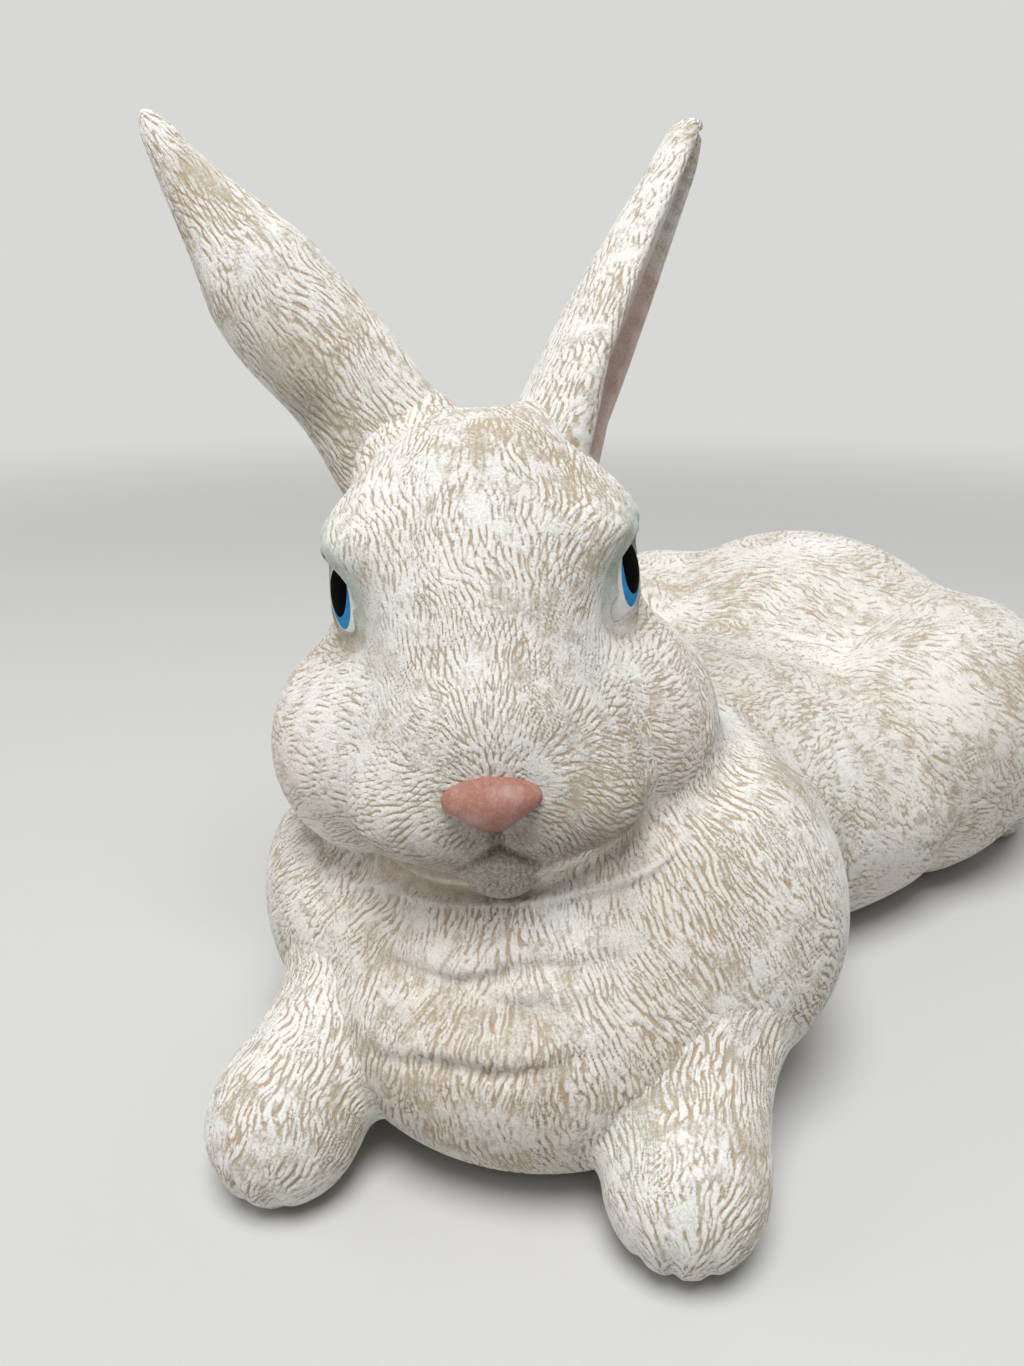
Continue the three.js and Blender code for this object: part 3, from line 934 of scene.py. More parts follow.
def surface_point(start, ray):
    """Where a ray from a point in the head's frame leaves the plain head."""
    ray = np.asarray(ray, float)[None, :]
    ray /= np.linalg.norm(ray)
    start = np.asarray(start, float)
    return start + ray[0] * crossing(head_mass, start, ray)[0]


def eye_place(side):
    """Centre of an eye in the head's frame, and its axes: outer, upper and out of the head."""
    turn = radians(EYE_TURN)
    outward_way = np.array((sin(turn) * side, -cos(turn), 0))
    centre = surface_point(EYE_LEVEL, outward_way) - outward_way * EYE_SUNK
    outer = np.array((cos(turn) * side, sin(turn), 0))
    return centre, np.column_stack((outer, outward_way, (0, 0, 1)))


EYES = {1: eye_place(1), -1: eye_place(-1)}


def eye_local(h, side):
    centre, axes = EYES[side]
    return (h - centre) @ axes


def ear_axes(ear):
    """Root, tip and middle of an ear's line, and the way its convex side faces, in the head's frame."""
    root = np.array(ear["root"]) * HEAD
    leans = np.array(ear["leans"]) / np.linalg.norm(ear["leans"])
    tip = root + leans * EAR_LENGTH
    middle = (root + tip) / 2 + np.array(ear["bow"]) * EAR_LENGTH
    turn = radians(ear["faces"])
    return root, middle, tip, np.array((-sin(turn), -cos(turn), 0))


def ear_line(ear, share):
    """Points on an ear's line and, at each, the ways along, across and to the front."""
    root, middle, tip, ahead = ear_axes(ear)
    bend = 2 * middle - (root + tip) / 2
    s = np.asarray(share, float)[:, None]
    at = root * (1 - s) ** 2 + bend * 2 * s * (1 - s) + tip * s * s
    along = (bend - root) * (1 - s) + (tip - bend) * s
    along /= np.linalg.norm(along, axis=1)[:, None]
    across = np.cross(along, ahead)
    across /= np.linalg.norm(across, axis=1)[:, None]
    front = np.cross(across, along)
    return at, along, across, front


def ear_collar(h, ear):
    """A swelling where an ear grows out of the head."""
    at, along, across, front = (item[0] for item in ear_line(ear, (0.1,)))
    size = ear["profile"][0]
    centre = at + front * EAR_DEPTH * size * 0.42
    local = (h - centre) @ np.column_stack((across, front, along))
    return lump(local, (np.zeros(3), np.array((EAR_WIDTH * size * 0.47, EAR_DEPTH * size * 0.53, 13))))


def segment_gap(h, a, b):
    """Distance to a segment as seen from straight ahead."""
    a, b = np.array(a, float), np.array(b, float)
    flat = h[:, (0, 2)]
    axis = b - a
    share = np.clip(((flat - a) @ axis) / (axis @ axis), 0, 1)
    return np.linalg.norm(flat - a - share[:, None] * axis, axis=1), share


MOUTH = (((0.3, -19.0), (0.3, -25.0)), ((0.3, -25.0), (-7.5, -30.2)), ((0.3, -25.0), (11.0, -32.0)))


def mouth_line(h, width=0.9):
    """1 along the mouth's inverted Y, fading to its ends."""
    line = np.zeros(len(h))
    for index, (a, b) in enumerate(MOUTH):
        gap, share = segment_gap(h, a, b)
        fade = 1 if index == 0 else 1 - 0.7 * share
        line = np.maximum(line, bell(gap, width) * fade)
    return line * ramp(-h[:, 1], 38, 46)


# The opening of each eye: its middle and half size, outwards and upwards from the eye's own
OPENINGS = {1: ((0.4, 1.4), (7.7, 9.3)), -1: ((-0.3, 1.5), (7.9, 9.1))}
INNER_CORNERS = {1: ((-4.6, -4.8), 4.0), -1: ((-4.0, -3.6), 3.6)}
LID = 0.75


def opening(u, w, side):
    """Negative inside the opening of an eye, as seen along its axis: an oval with an inner corner."""
    (middle_u, middle_w), (half_u, half_w) = OPENINGS[side]
    oval = (np.hypot((u - middle_u) / half_u, (w - middle_w) / half_w) - 1) * half_u
    (corner_u, corner_w), reach = INNER_CORNERS[side]
    return join(1.5, oval, np.hypot(u - corner_u, w - corner_w) - reach)


def dome_height(u, w):
    """How far an eye's dome stands out, with a soft skirt round it."""
    inside = 1 - (u / EYE_HALF[0]) ** 2 - (w / EYE_HALF[2]) ** 2
    return EYE_HALF[1] * np.sqrt((inside + np.hypot(inside, 0.15)) / 2)


def lid_ring(e, side):
    """A rounded rim that follows the opening on the eye's dome."""
    u, v, w = e[:, 0], e[:, 1], e[:, 2]
    return np.hypot(opening(u, w, side), v - dome_height(u, w)) - LID


# Soft dents that give the face its own form: place in the head's frame, reach and depth
DENTS = (
    ((37.0, -14.0, 32.0), 11.0, 1.7), ((-37.0, -14.0, 32.0), 11.0, 1.2),
    ((17.0, -46.0, -37.0), 9.0, 2.6), ((-17.0, -46.0, -37.0), 9.0, 2.6), ((1.0, -47.0, -38.5), 8.0, -4.2),
    ((56.0, -4.0, -24.0), 22.0, 4.2), ((44.0, -14.0, -38.0), 13.0, -1.5), ((6.0, 10.0, 52.0), 12.0, 1.5),
)


def head_form(p):
    """The head with its dents, ear collars, eye pockets, lids and mouth."""
    h = SKULL_PLACE.local(p)
    form = head_mass(h)
    for place, reach, depth in DENTS:
        form = form + depth * bell(reach_to(h, place), reach)
    form = form + JAW_LIFT * ramp(-h[:, 2], 26, 37) * ramp(-h[:, 1], 20, 40)
    for ear in EARS.values():
        form = join(9, form, ear_collar(h, ear))
    for side in (1, -1):
        crease = lump(h, CHEEK, side) - join(HEAD_RUN, lump(h, MUZZLE), lump(h, LIP, side))
        form = form + CHEEK_CREASE * bell(crease, 4.5) * ramp(-h[:, 1], 18, 30) * ramp(-h[:, 2], -2, 10)
        e = eye_local(h, side)
        gap = opening(e[:, 0], e[:, 2], side)
        pocket = np.maximum(gap, -1 - e[:, 1])
        form = cut(1.0, form, -pocket)
        form = join(0.4, form, lump(e, (np.zeros(3), EYE_HALF)) + 0.6)
        form = join(1.4, form, lid_ring(e, side))
        form = form + LID_CREASE * bell(gap - 3.0, 1.3) * bell(e[:, 1] - 2, 6)
    return form + MOUTH_DEPTH * mouth_line(h) + MOUTH_DIP * mouth_line(h, 2.8)


def head_flow(p):
    """Out from the nose over the face, up the forehead and back."""
    h = SKULL_PLACE.local(p)
    away = h - np.array((0, -50.0, -12.0))
    away[:, 0] *= 1.15
    away[:, 2] += 6 * ramp(h[:, 2], -10, 25)
    return away @ SKULL_PLACE.axes.T


def make_head():
    centre = SKULL_PLACE.at
    ahead = SKULL_PLACE.outside(np.array((0, -520.0, 60.0)))
    piece, p, table, real = cast("head", head_form, centre, (1, 1, 1), fineness("head"), ahead)
    h = SKULL_PLACE.local(p)
    fur = np.ones(len(p))
    wash = Wash(len(p))
    lower = ramp(-h[:, 1], 25, 45) * ramp(-h[:, 2], 14, 34)
    wash.lay(rgb("muzzle_grey"), 0.6 * lower)
    around_mouth = bell(reach_to(h, (4, -52, -31), (0.55, 0.6, 1)), 13)
    wash.lay(rgb("muzzle_grey"), 0.75 * around_mouth)
    # Darker round the top of the mouth: brown paint, with painted shade under the nose
    near_mouth = bell(reach_to(h, (0, -55, -23), (0.7, 0.6, 1)), 9)
    wash.lay(rgb("stain_and_shade"), 0.45 * near_mouth)
    wash.lay(rgb("stain_and_shade"), 0.65 * mouth_line(h))
    for side in (1, -1):
        e = eye_local(h, side)
        gap = opening(e[:, 0], e[:, 2], side)
        near = bell(e[:, 1] - 2, 6)
        lids = bell(np.maximum(gap - 1.2, 0), 1.2) * near
        brow = bell(np.maximum(reach_to(h, (34.0 * side, -17, 29), (1, 0.7, 1)) - 3, 0), 5)
        inner = bell(e[:, 0] + 10, 3.4) * bell(e[:, 2] - 2, 9) * near
        green = np.clip(brow + 0.9 * inner + 0.7 * lids * ramp(e[:, 2], -2, 4), 0, 1)
        fur = fur * (1 - 0.75 * np.clip(brow + inner, 0, 1)) * (1 - np.clip(lids, 0, 1))
        wash.lay(rgb("tan"), 0.4 * lids * ramp(-e[:, 2], -2, 4))
        wash.lay(rgb("eyeshadow"), 0.8 * green)
        wash.lay(rgb("tan"), 0.5 * bell(gap - 3.2, 1.6) * ramp(-e[:, 2], 0, 6) * near)
        blush = bell(reach_to(h, (46.0 * side, -12, -22), (1, 0.75, 0.85)), 17)
        wash.lay(rgb("blush"), 0.42 * blush)
        liner = bell(gap + 0.3, 0.7) * near * np.clip(ramp(e[:, 2], 1, 6) + bell(e[:, 2] + 5, 3), 0, 1)
        wash.lay(rgb("stain_and_shade"), 0.75 * liner)
    smooth = bell(reach_to(h, (-23, -32, 12), (1, 0.7, 0.6)), 6)
    wash.lay(rgb("white"), 0.6 * smooth)
    fur = fur * (1 - 0.25 * lower) * (1 - 0.6 * smooth) * (1 - np.clip(mouth_line(h) * 1.5, 0, 1))
    pitch = 1.4 + 0.5 * ramp(reach_to(h, (0, -50, -12)), 20, 75)
    depth = 0.75 * sizes().groove_depth
    furred(piece, p, table, real, head_flow(p), pitch, 10, 0.9 * fur, wash, depth, 23)
    back_way = SKULL_PLACE.axes[:, 1]
    middle = (centre + TO_ROW) @ back_way * MM
    for part in parted(piece, ("painted_head_front", "painted_head_back"), back_way, (middle,)):
        belongs(part, ("head_shell",))


# The nose


def nose_form(p):
    """Two wings and a lower middle, with a slit for each nostril."""
    h = SKULL_PLACE.local(p)
    n = h - NOSE_AT
    wing = np.array((6.2, 5.2, 3.6))
    wings = join(7, lump(n, (np.array((4.0, 0.5, 1.3)), wing)), lump(n, (np.array((-4.0, 0.5, 1.3)), wing)))
    form = join(5, wings, lump(n, (np.array((0, 0.2, -0.6)), np.array((4.4, 5.0, 3.4)))))
    for side in (1, -1):
        slit, _ = segment_gap(n, (7.6 * side, -1.4), (4.4 * side, -3.6))
        form = form + 0.5 * bell(slit, 1.0) * ramp(-n[:, 1], 0, 2)
    return form


NOSE_AT = surface_point(NOSE_LEVEL, (0, -1, 0))


def make_nose():
    centre = SKULL_PLACE.outside(NOSE_AT + np.array((0, 1.0, 0)))
    piece, p, _, _ = cast("painted_nose", nose_form, centre, (1, 1, 1), fineness("nose"))
    n = SKULL_PLACE.local(p) - NOSE_AT
    wash = Wash(len(p))
    # Painted shade: the nose darkens towards its underside, where the light does not reach
    wash.lay(rgb("nose_painted_shade"), 0.85 * ramp(-n[:, 2], -0.5, 4.5))
    # Darker towards the back of the nose, where it meets the face
    wash.lay(rgb("stain_and_shade"), 0.5 * ramp(n[:, 1], 0.5, 3))
    note(piece.data, "wash", wash.values(), "FLOAT_COLOR")
    put_points(piece.data, (p + TO_ROW) * MM)
    dark = tuple((a + b) / 2 for a, b in zip(rgb("nose"), rgb("nose_painted_shade")))
    piece.data.materials.append(grainy_paint("Nose pink", rgb("nose"), dark, 0.0007, 0.8))
    belongs(piece, ("nose",))


# Ears


def ear_size(ear, share):
    """How wide an ear is along its line, with a rounded tip."""
    s = np.asarray(share, float)
    fine = np.linspace(-0.1, 1.1, 241)
    raw = np.interp(fine, np.linspace(0, 1, len(ear["profile"])), ear["profile"])
    window = np.hanning(19)
    soft = np.convolve(np.pad(raw, 9, mode="edge"), window / window.sum(), "valid")
    tip = np.sqrt(np.clip(1 - np.clip((s - 0.93) / 0.07, 0, 1) ** 2, 0, 1))
    return np.interp(s, fine, soft) * np.maximum(tip, 0.02)


def ear_wall(share, size):
    """How thick an ear's wall is: filled at the root and thin at the tip."""
    filled = np.maximum(0, 1 - share / 0.3)
    return EAR_WALL * (0.4 + 0.6 * size) + filled * EAR_WIDTH * 0.3


def ear_point(ear, share, angle, inset):
    """Points of an ear's section: share runs along it, angle round it and inset into its wall."""
    at, _, across, front = ear_line(ear, share)
    size = ear_size(ear, share)
    flare = 1 + ear["flare"] * ramp(-share, -0.35, 0) * np.clip(-np.sin(angle), 0, 1)
    wide = np.maximum(0.25, EAR_WIDTH * size / 2 - inset) * flare
    deep = np.maximum(0.25, EAR_DEPTH * size - inset)
    return at + across * (wide * np.sin(angle))[:, None] + front * (deep * np.cos(angle))[:, None]


def tube(rings):
    """Points and faces of a closed skin over equal rings, with a fan at each end."""
    count, around, _ = rings.shape
    points = np.concatenate((rings.reshape(-1, 3), rings[0].mean(0)[None], rings[-1].mean(0)[None]))
    i, j = np.meshgrid(np.arange(count - 1), np.arange(around), indexing="ij")
    a = i * around + j
    b = i * around + (j + 1) % around
    quads = np.stack((a, b, b + around, a + around), axis=-1).reshape(-1, 4)
    j = np.arange(around)
    k = (j + 1) % around
    top = (count - 1) * around
    first, last = count * around, count * around + 1
    tris = np.concatenate((
        np.stack((quads[:, 0], quads[:, 1], quads[:, 2]), 1),
        np.stack((quads[:, 0], quads[:, 2], quads[:, 3]), 1),
        np.stack((k, j, np.full(around, first)), 1),
        np.stack((top + j, top + k, np.full(around, last)), 1),
    ))
    return points, tris


def rim_arc(start, end, turn):
    """A half circle from the last point of one arc round to the first point of the next."""
    middle = (start[-1] + end[0]) / 2
    spoke = start[-1] - middle
    way = start[-1] - start[-2]
    way = way - spoke * (way @ spoke) / max(spoke @ spoke, 1e-9)
    way *= np.linalg.norm(spoke) / max(np.linalg.norm(way), 1e-9)
    return middle + spoke * np.cos(turn) + way * np.sin(turn)


def ear_rings(ear, stations, outside, inside, rim):
    """Sections of an ear from its root to its tip: convex side, rim, hollow side and rim."""
    far, near = np.radians(ear["rims"])
    out_angle = np.linspace(-far, near, outside)
    in_angle = np.linspace(near, -far, inside)
    turn = np.linspace(0, pi, rim + 2)[1:-1, None]
    rings = []
    for s in np.linspace(0, 1, stations):
        wall = ear_wall(s, ear_size(ear, (s,)))[0]
        outer = ear_point(ear, np.full(outside, s), out_angle, np.zeros(outside))
        inner = ear_point(ear, np.full(inside, s), in_angle, np.full(inside, wall))
        rims = rim_arc(outer, inner, turn), rim_arc(inner, outer, turn)
        rings.append(np.concatenate((outer, rims[0], inner, rims[1])))
    return np.array(rings)


# Stains on the right ear: share of its length, angle round it, reach of each, colour and strength
EAR_STAINS = (
    (0.28, -62.0, 0.065, 30.0, "stain_and_shade", 0.8),
    (0.36, -52.0, 0.1, 36.0, "tan", 0.75),
    (0.8, 5.0, 0.06, 55.0, "tan", 0.6),
)


def make_ear(name, ear, seed):
    stations, outside, inside, rim = ((210, 130, 64, 14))
    rings = ear_rings(ear, stations, outside, inside, rim)
    h, tris = tube(rings)
    p = SKULL_PLACE.outside(h)
    p = p + 0.3 * wander(p, 22, seed)[:, None]
    piece = put(skin_of("ear", p, tris), "painted_" + name + "_ear")
    outward(piece.data)
    table, real = neighbours(piece.data)
    far, near = ear["rims"]
    out_angle = np.linspace(-far, near, outside)
    in_angle = np.linspace(near, -far, inside)
    angle = np.concatenate((out_angle, np.full(rim, near), in_angle, np.full(rim, -far)))
    hollow = np.concatenate((np.zeros(outside + rim // 2), np.ones(rim - rim // 2 + inside + rim)))
    share = np.concatenate((np.repeat(np.linspace(0, 1, stations), len(angle)), (0, 1)))
    angle = np.concatenate((np.tile(angle, stations), (0, 0)))
    hollow = np.concatenate((np.tile(hollow, stations), (0, 0)))
    root, _, tip, _ = ear_axes(ear)
    leans = (tip - root) / np.linalg.norm(tip - root)
    flow = np.broadcast_to(leans, h.shape) @ SKULL_PLACE.axes.T
    fur = (1 - 0.85 * hollow) * (1 - ramp(share, 0.97, 1.0))
    wash = Wash(len(p))
    wash.lay(rgb("ear_pink"), 0.85 * hollow * (1 - ramp(share, 0.6, 0.74)))
    if name == "right":
        for s, a, reach, spread, colour, amount in EAR_STAINS:
            wash.lay(rgb(colour), amount * bell(share - s, reach) * bell(angle - a, spread) * (1 - hollow))
    furred(piece, p, table, real, flow, 1.9, 8, 0.85 * fur, wash, 0.75 * sizes().groove_depth, seed)
    weld(piece.data)
    belongs(piece, (name + "_ear",))


def make_ear_lining(name, ear):
    rows, columns = 90, 44
    share = np.linspace(0.16, 0.9, rows)
    far, near = (radians(rim - 14) for rim in ear["rims"])
    angle = np.linspace(-far, near, columns)
    s, a = (item.ravel() for item in np.meshgrid(share, angle, indexing="ij"))
    edge = np.maximum(np.abs(s - 0.53) / 0.37, np.abs(2 * a - near + far) / (near + far))
    crown = np.sqrt(np.clip(1 - edge ** 6, 0, 1))
    wall = ear_wall(s, ear_size(ear, s))
    ripple = 0.25 * np.cos(a * 9 + 3 * s) * crown
    top = ear_point(ear, s, a, wall - 0.25 + 1.2 * crown + ripple)
    under = ear_point(ear, s, a, wall - 1.0)
    i, j = np.meshgrid(np.arange(rows - 1), np.arange(columns - 1), indexing="ij")
    k = (i * columns + j).ravel()
    sheet = np.stack((k, k + 1, k + columns + 1, k + columns), 1)
    count = rows * columns
    index = np.arange(count).reshape(rows, columns)
    loop = np.concatenate((index[0, :-1], index[:-1, -1], index[-1, :0:-1], index[:0:-1, 0]))
    after = np.roll(loop, -1)
    sides = np.stack((loop, loop + count, after + count, after), 1)
    faces = np.concatenate((sheet, sheet[:, ::-1] + count, sides))
    p = SKULL_PLACE.outside(np.concatenate((top, under)))
    piece = put(skin_of("lining", (p + TO_ROW) * MM, faces), "painted_" + name + "_ear_lining")
    outward(piece.data)
    wash = Wash(len(p))
    both = np.concatenate((edge, edge))
    wash.lay(rgb("white"), 0.45 * ramp(both, 0.75, 1.0))
    wash.lay(rgb("white"), 0.8 * ramp(np.concatenate((s, s)), 0.62, 0.76))
    wash.lay(rgb("nose"), 0.25 * ramp(-np.concatenate((s, s)), -0.45, -0.2))
    note(piece.data, "wash", wash.values(), "FLOAT_COLOR")
    pink = bpy.data.materials.get("Ear pink") or grainy_paint(
        "Ear pink", rgb("ear_pink"), tuple(0.86 * c for c in rgb("ear_pink")), 0.0012, 0.82)
    piece.data.materials.append(pink)
    belongs(piece, (name + "_ear_lining",))


# Eyes


def dome_point(side, u, w, lift):
    """Points on an eye's dome in the head's frame, from places across and up it."""
    centre, axes = EYES[side]
    return centre + np.column_stack((u, dome_height(u, w) + lift, w)) @ axes.T


ROUND_EYE = np.linspace(0, 2 * pi, 96, endpoint=False)


def oval_edge(half):
    """The edge of an oval, from its middle."""
    return half[0] * np.cos(ROUND_EYE), half[1] * np.sin(ROUND_EYE)


def opening_edge(side, extra):
    """The edge of an eye's opening, made that much wider, from the opening's middle."""
    middle = OPENINGS[side][0]
    ways = np.cos(ROUND_EYE), np.sin(ROUND_EYE)
    near, far = np.zeros(len(ROUND_EYE)), np.full(len(ROUND_EYE), 20.0)
    for _ in range(20):
        reach = (near + far) / 2
        inside = opening(middle[0] + ways[0] * reach, middle[1] + ways[1] * reach, side) < extra
        near = np.where(inside, reach, near)
        far = np.where(inside, far, reach)
    return ways[0] * near, ways[1] * near


def lens(name, side, middle, edge, lift, under, paint):
    """A thin domed enamel, from an edge on the eye's dome."""
    rows = 22
    rings = []
    for level in (lift, under):
        reach = np.linspace(0.02, 1, rows) if level == lift else np.linspace(1, 0.02, rows)
        for r in reach:
            u = middle[0] + edge[0] * r
            w = middle[1] + edge[1] * r
            crown = level if level == under else under + (lift - under) * np.sqrt(max(0.0, 1 - r ** 8))
            rings.append(dome_point(side, u, w, crown))
    points, tris = tube(np.array(rings))
    p = SKULL_PLACE.outside(points)
    piece = put(skin_of(name, (p + TO_ROW) * MM, tris), "painted_" + name)
    outward(piece.data)
    weld(piece.data)
    piece.data.materials.append(paint)
    belongs(piece, (name,))


# Middle and half size of the iris and the pupil on each eye, outwards and upwards from the eye's own
GAZE = {
    "left": (((0.3, 1.4), (5.7, 7.6)), ((0.6, 3.0), (5.0, 6.3))),
    "right": (((-1.4, 0.8), (5.4, 7.3)), ((-1.2, 2.4), (4.8, 6.1))),
}


def make_eyes():
    white = glossy_paint("Eye white", rgb("eye_white"), tuple(0.93 * c for c in rgb("eye_white")))
    blue = glossy_paint("Iris blue", rgb("iris"), tuple(0.72 * c for c in rgb("iris")))
    black = glossy_paint("Pupil black", rgb("pupil"), tuple(0.5 * c for c in rgb("pupil")))
    for side, name in ((1, "left"), (-1, "right")):
        (iris, iris_half), (pupil, pupil_half) = GAZE[name]
        for node, slot, paint, middle, edge, lift, under in (
            ("_eye_white", "eye_white", white, OPENINGS[side][0], opening_edge(side, 0.5), 0.0, -0.45),
            ("_iris", "iris_blue", blue, iris, oval_edge(iris_half), 0.14, -0.3),
            ("_pupil", "pupil_black", black, pupil, oval_edge(pupil_half), 0.26, -0.2),
        ):
            lens(name + node, side, middle, edge, lift, under, paint)


# Legs, feet and tail


def paw_form(name):
    """The field of a foreleg with its toes, and where its elbow and paw are."""
    elbow, paw = LEGS[name]
    way = paw - elbow
    way = way / np.linalg.norm(way)
    side_way = np.array((way[1], -way[0], 0)) / np.hypot(way[0], way[1])

    def form(p):
        q = FORE.local(p)
        leg = join(12, limb(q, elbow, paw, ELBOW, PAW.min()), lump(q, (paw, PAW / 2)))
        across = (q - paw) @ side_way
        ahead = (q - paw) @ np.array((way[0], way[1], 0))
        for place in (-7.4, 0.0, 7.4):
            leg = leg + 0.9 * bell(across - place, 1.3) * ramp(ahead, 6, 14) * ramp(-q[:, 2], -20, -8)
        plain = trunk_mass(p, q)
        leg = join(7, leg, np.maximum(plain + 0.9, leg - 5))
        return cut(FOOT_EDGE, leg, -p[:, 2])

    return form, elbow, paw


def make_forelegs():
    fine = fineness("foreleg")
    for index, name in enumerate(LEGS):
        form, elbow, paw = paw_form(name)
        centre = FORE.outside((elbow + paw) / 2)
        piece, p, table, real = cast("painted_" + name + "_foreleg", form, centre, (1, 1, 1), fine)
        q = FORE.local(p)
        way = (paw - elbow) / np.linalg.norm(paw - elbow)
        toes = ramp(paw[1] - q[:, 1], 0, 14)[:, None]
        flow = (np.broadcast_to(way, q.shape) + np.array((0, -0.2, -0.25)) * toes) @ FORE.axes.T
        fur = above_floor(p)
        wash = Wash(len(p))
        wash.lay(rgb("tan"), near_floor(p))
        wash.lay(rgb("eyeshadow"), (0.22 if name == "left" else 0.06) * ramp(wander(p, 9, 71), 0.5, 1.4))
        furred(piece, p, table, real, flow, 1.9, 7, fur, wash, 0.85 * sizes().groove_depth, 41 + index)
        belongs(piece, (name + "_foreleg",))


def make_hind_feet():
    fine = fineness("hind_foot")
    for index, (name, side) in enumerate((("left", 1), ("right", -1))):
        heel, toe = (item * (side, 1, 1) for item in HIND_FOOT)

        def form(p, heel=heel, toe=toe):
            foot = limb(p, heel, toe, HIND_FOOT_DIAMETER, HIND_FOOT_DIAMETER)
            across = p[:, 0] - toe[0]
            for place in (-7.0, 0.0, 7.0):
                foot = foot + 1.4 * bell(across - place, 1.6) * ramp(-(p[:, 1] - toe[1]), 2, 12)
            plain = trunk_mass(p, FORE.local(p))
            foot = join(8, foot, np.maximum(plain + 0.9, foot - 5))
            return cut(FOOT_EDGE, foot, -p[:, 2])

        centre = (heel + toe) / 2
        piece, p, table, real = cast("painted_" + name + "_hind_foot", form, centre, (1, 1, 1), fine)
        flow = np.broadcast_to((toe - heel) / np.linalg.norm(toe - heel), p.shape)
        wash = Wash(len(p))
        wash.lay(rgb("tan"), near_floor(p))
        fur = above_floor(p)
        furred(piece, p, table, real, flow, 2.4, 8, fur, wash, 0.85 * sizes().groove_depth, 51 + index)
        belongs(piece, (name + "_hind_foot",))


def make_tail():
    start = np.array(RUMP[0])
    ray = np.array((0, 1, 0.15)) / np.hypot(1, 0.15)
    at = start + ray * crossing(lambda p: trunk_mass(p, FORE.local(p)), start, ray[None, :])[0]

    def form(p):
        puff = lump(p - at, (np.zeros(3), TAIL_SIZE / 2))
        plain = trunk_mass(p, FORE.local(p))
        return join(6, puff, np.maximum(plain + 0.9, puff - 4))

    piece, p, table, real = cast("painted_tail", form, at, (1, 1, 1), fineness("tail"))
    flow = (p - at) * (1, 0.2, 1) + np.array((0, 4.0, -14.0))
    fur, wash = np.ones(len(p)), Wash(len(p))
    furred(piece, p, table, real, flow, 2.5, 10, fur, wash, 1.2 * sizes().groove_depth, 61)
    belongs(piece, ("tail",))


# The stage


def make_floor():
    """A round pale floor that curves up into a backdrop, which glows towards the camera far out."""
    around = np.linspace(0, 2 * pi, 96, endpoint=False)
    rise = np.linspace(0, pi / 2, 16)
    reach = np.concatenate(((0.05, 0.6, 1.2, 1.8), 1.8 + 1.2 * np.sin(rise[1:]), (3.0,)))
    height = np.concatenate(((0, 0, 0, 0), 1.2 - 1.2 * np.cos(rise[1:]), (1.7,)))
    rings = np.array([[(r * cos(a), r * sin(a), z) for a in around] for r, z in zip(reach, height)])
    points, tris = tube(rings)
    mesh = skin_of("floor", points[:-1], tris[:-len(around)])
    paint = Paint("Pale floor")
    place = paint.place()
    mottle = paint.spots(place, 0.12, 3.0)
    tone = rgb("floor")
    paint.feed(paint.shader.inputs["Base Color"], paint.mix(mottle, tuple(0.985 * c for c in tone), tone))
    paint.shader.inputs["Roughness"].default_value = 0.9
    paint.shader.inputs["Specular IOR Level"].default_value = 0.2
    distance = paint.node("ShaderNodeVectorMath", operation="LENGTH")
    paint.feed(distance.inputs[0], place)
    far = paint.math("MULTIPLY", paint.seen_rays(), paint.span(distance.outputs["Value"], 0.45, 1.5))
    glow = paint.node("ShaderNodeEmission")
    glow.inputs["Color"].default_value = (*rgb("backdrop"), 1)
    shown = paint.blend(far, paint.shader.outputs[0], glow.outputs[0])
    paint.feed(paint.tree.nodes["Material Output"].inputs["Surface"], shown)
    mesh.materials.append(paint.made)
    mesh.polygons.foreach_set("use_smooth", np.ones(len(mesh.polygons), bool))
    put(mesh, "floor")


def make_world():
    """Even light from all round, which the camera sees as the floor's own tone."""
    world = bpy.data.worlds.new("Studio")
    world.use_nodes = True
    build = Nodes(world.node_tree)
    build.tree.nodes.clear()
    lights = []
    for tone, strength in (((1, 1, 1), sizes().sky_light), (rgb("floor"), 0.8)):
        light = build.node("ShaderNodeBackground")
        light.inputs["Color"].default_value = (*tone, 1)
        light.inputs["Strength"].default_value = strength
        lights.append(light.outputs[0])
    out = build.node("ShaderNodeOutputWorld")
    build.feed(out.inputs["Surface"], build.blend(build.seen_rays(), *lights))
    bpy.context.scene.world = world


def make_stage():
    scene = bpy.context.scene
    make_floor()
    make_world()
    aim = Vector((0.0, -0.06, 0.1))
    for name, at, size, watts in (
        ("key_softbox", (0.25, -0.55, 1.75), 1.0, sizes().key_light),
        ("fill_softbox", (-1.1, -1.2, 0.9), 1.4, 0.18 * sizes().key_light),
        ("back_softbox", (0.2, 1.3, 1.5), 1.4, 0.12 * sizes().key_light),
    ):
        lamp = bpy.data.lights.new(name, "AREA")
        lamp.shape = "DISK"
        lamp.size = size
        lamp.energy = watts
        box = bpy.data.objects.new(name, lamp)
        box.location = at
        box.rotation_euler = (aim - Vector(at)).to_track_quat("-Z", "Y").to_euler()
        scene.collection.objects.link(box)

    view = bpy.data.cameras.new("camera")
    view.lens = 26.987
    view.sensor_width = 36.0
    view.sensor_fit = "AUTO"
    view.clip_start = 0.01
    camera = bpy.data.objects.new("camera", view)
    camera.location = (np.array(CAMERA_AT) + TO_ROW) * MM
    camera.rotation_euler = (radians(CAMERA_TILT), 0, radians(CAMERA_TURN))
    scene.collection.objects.link(camera)
    scene.camera = camera
    scene.view_settings.view_transform = "Standard"


# The add-on


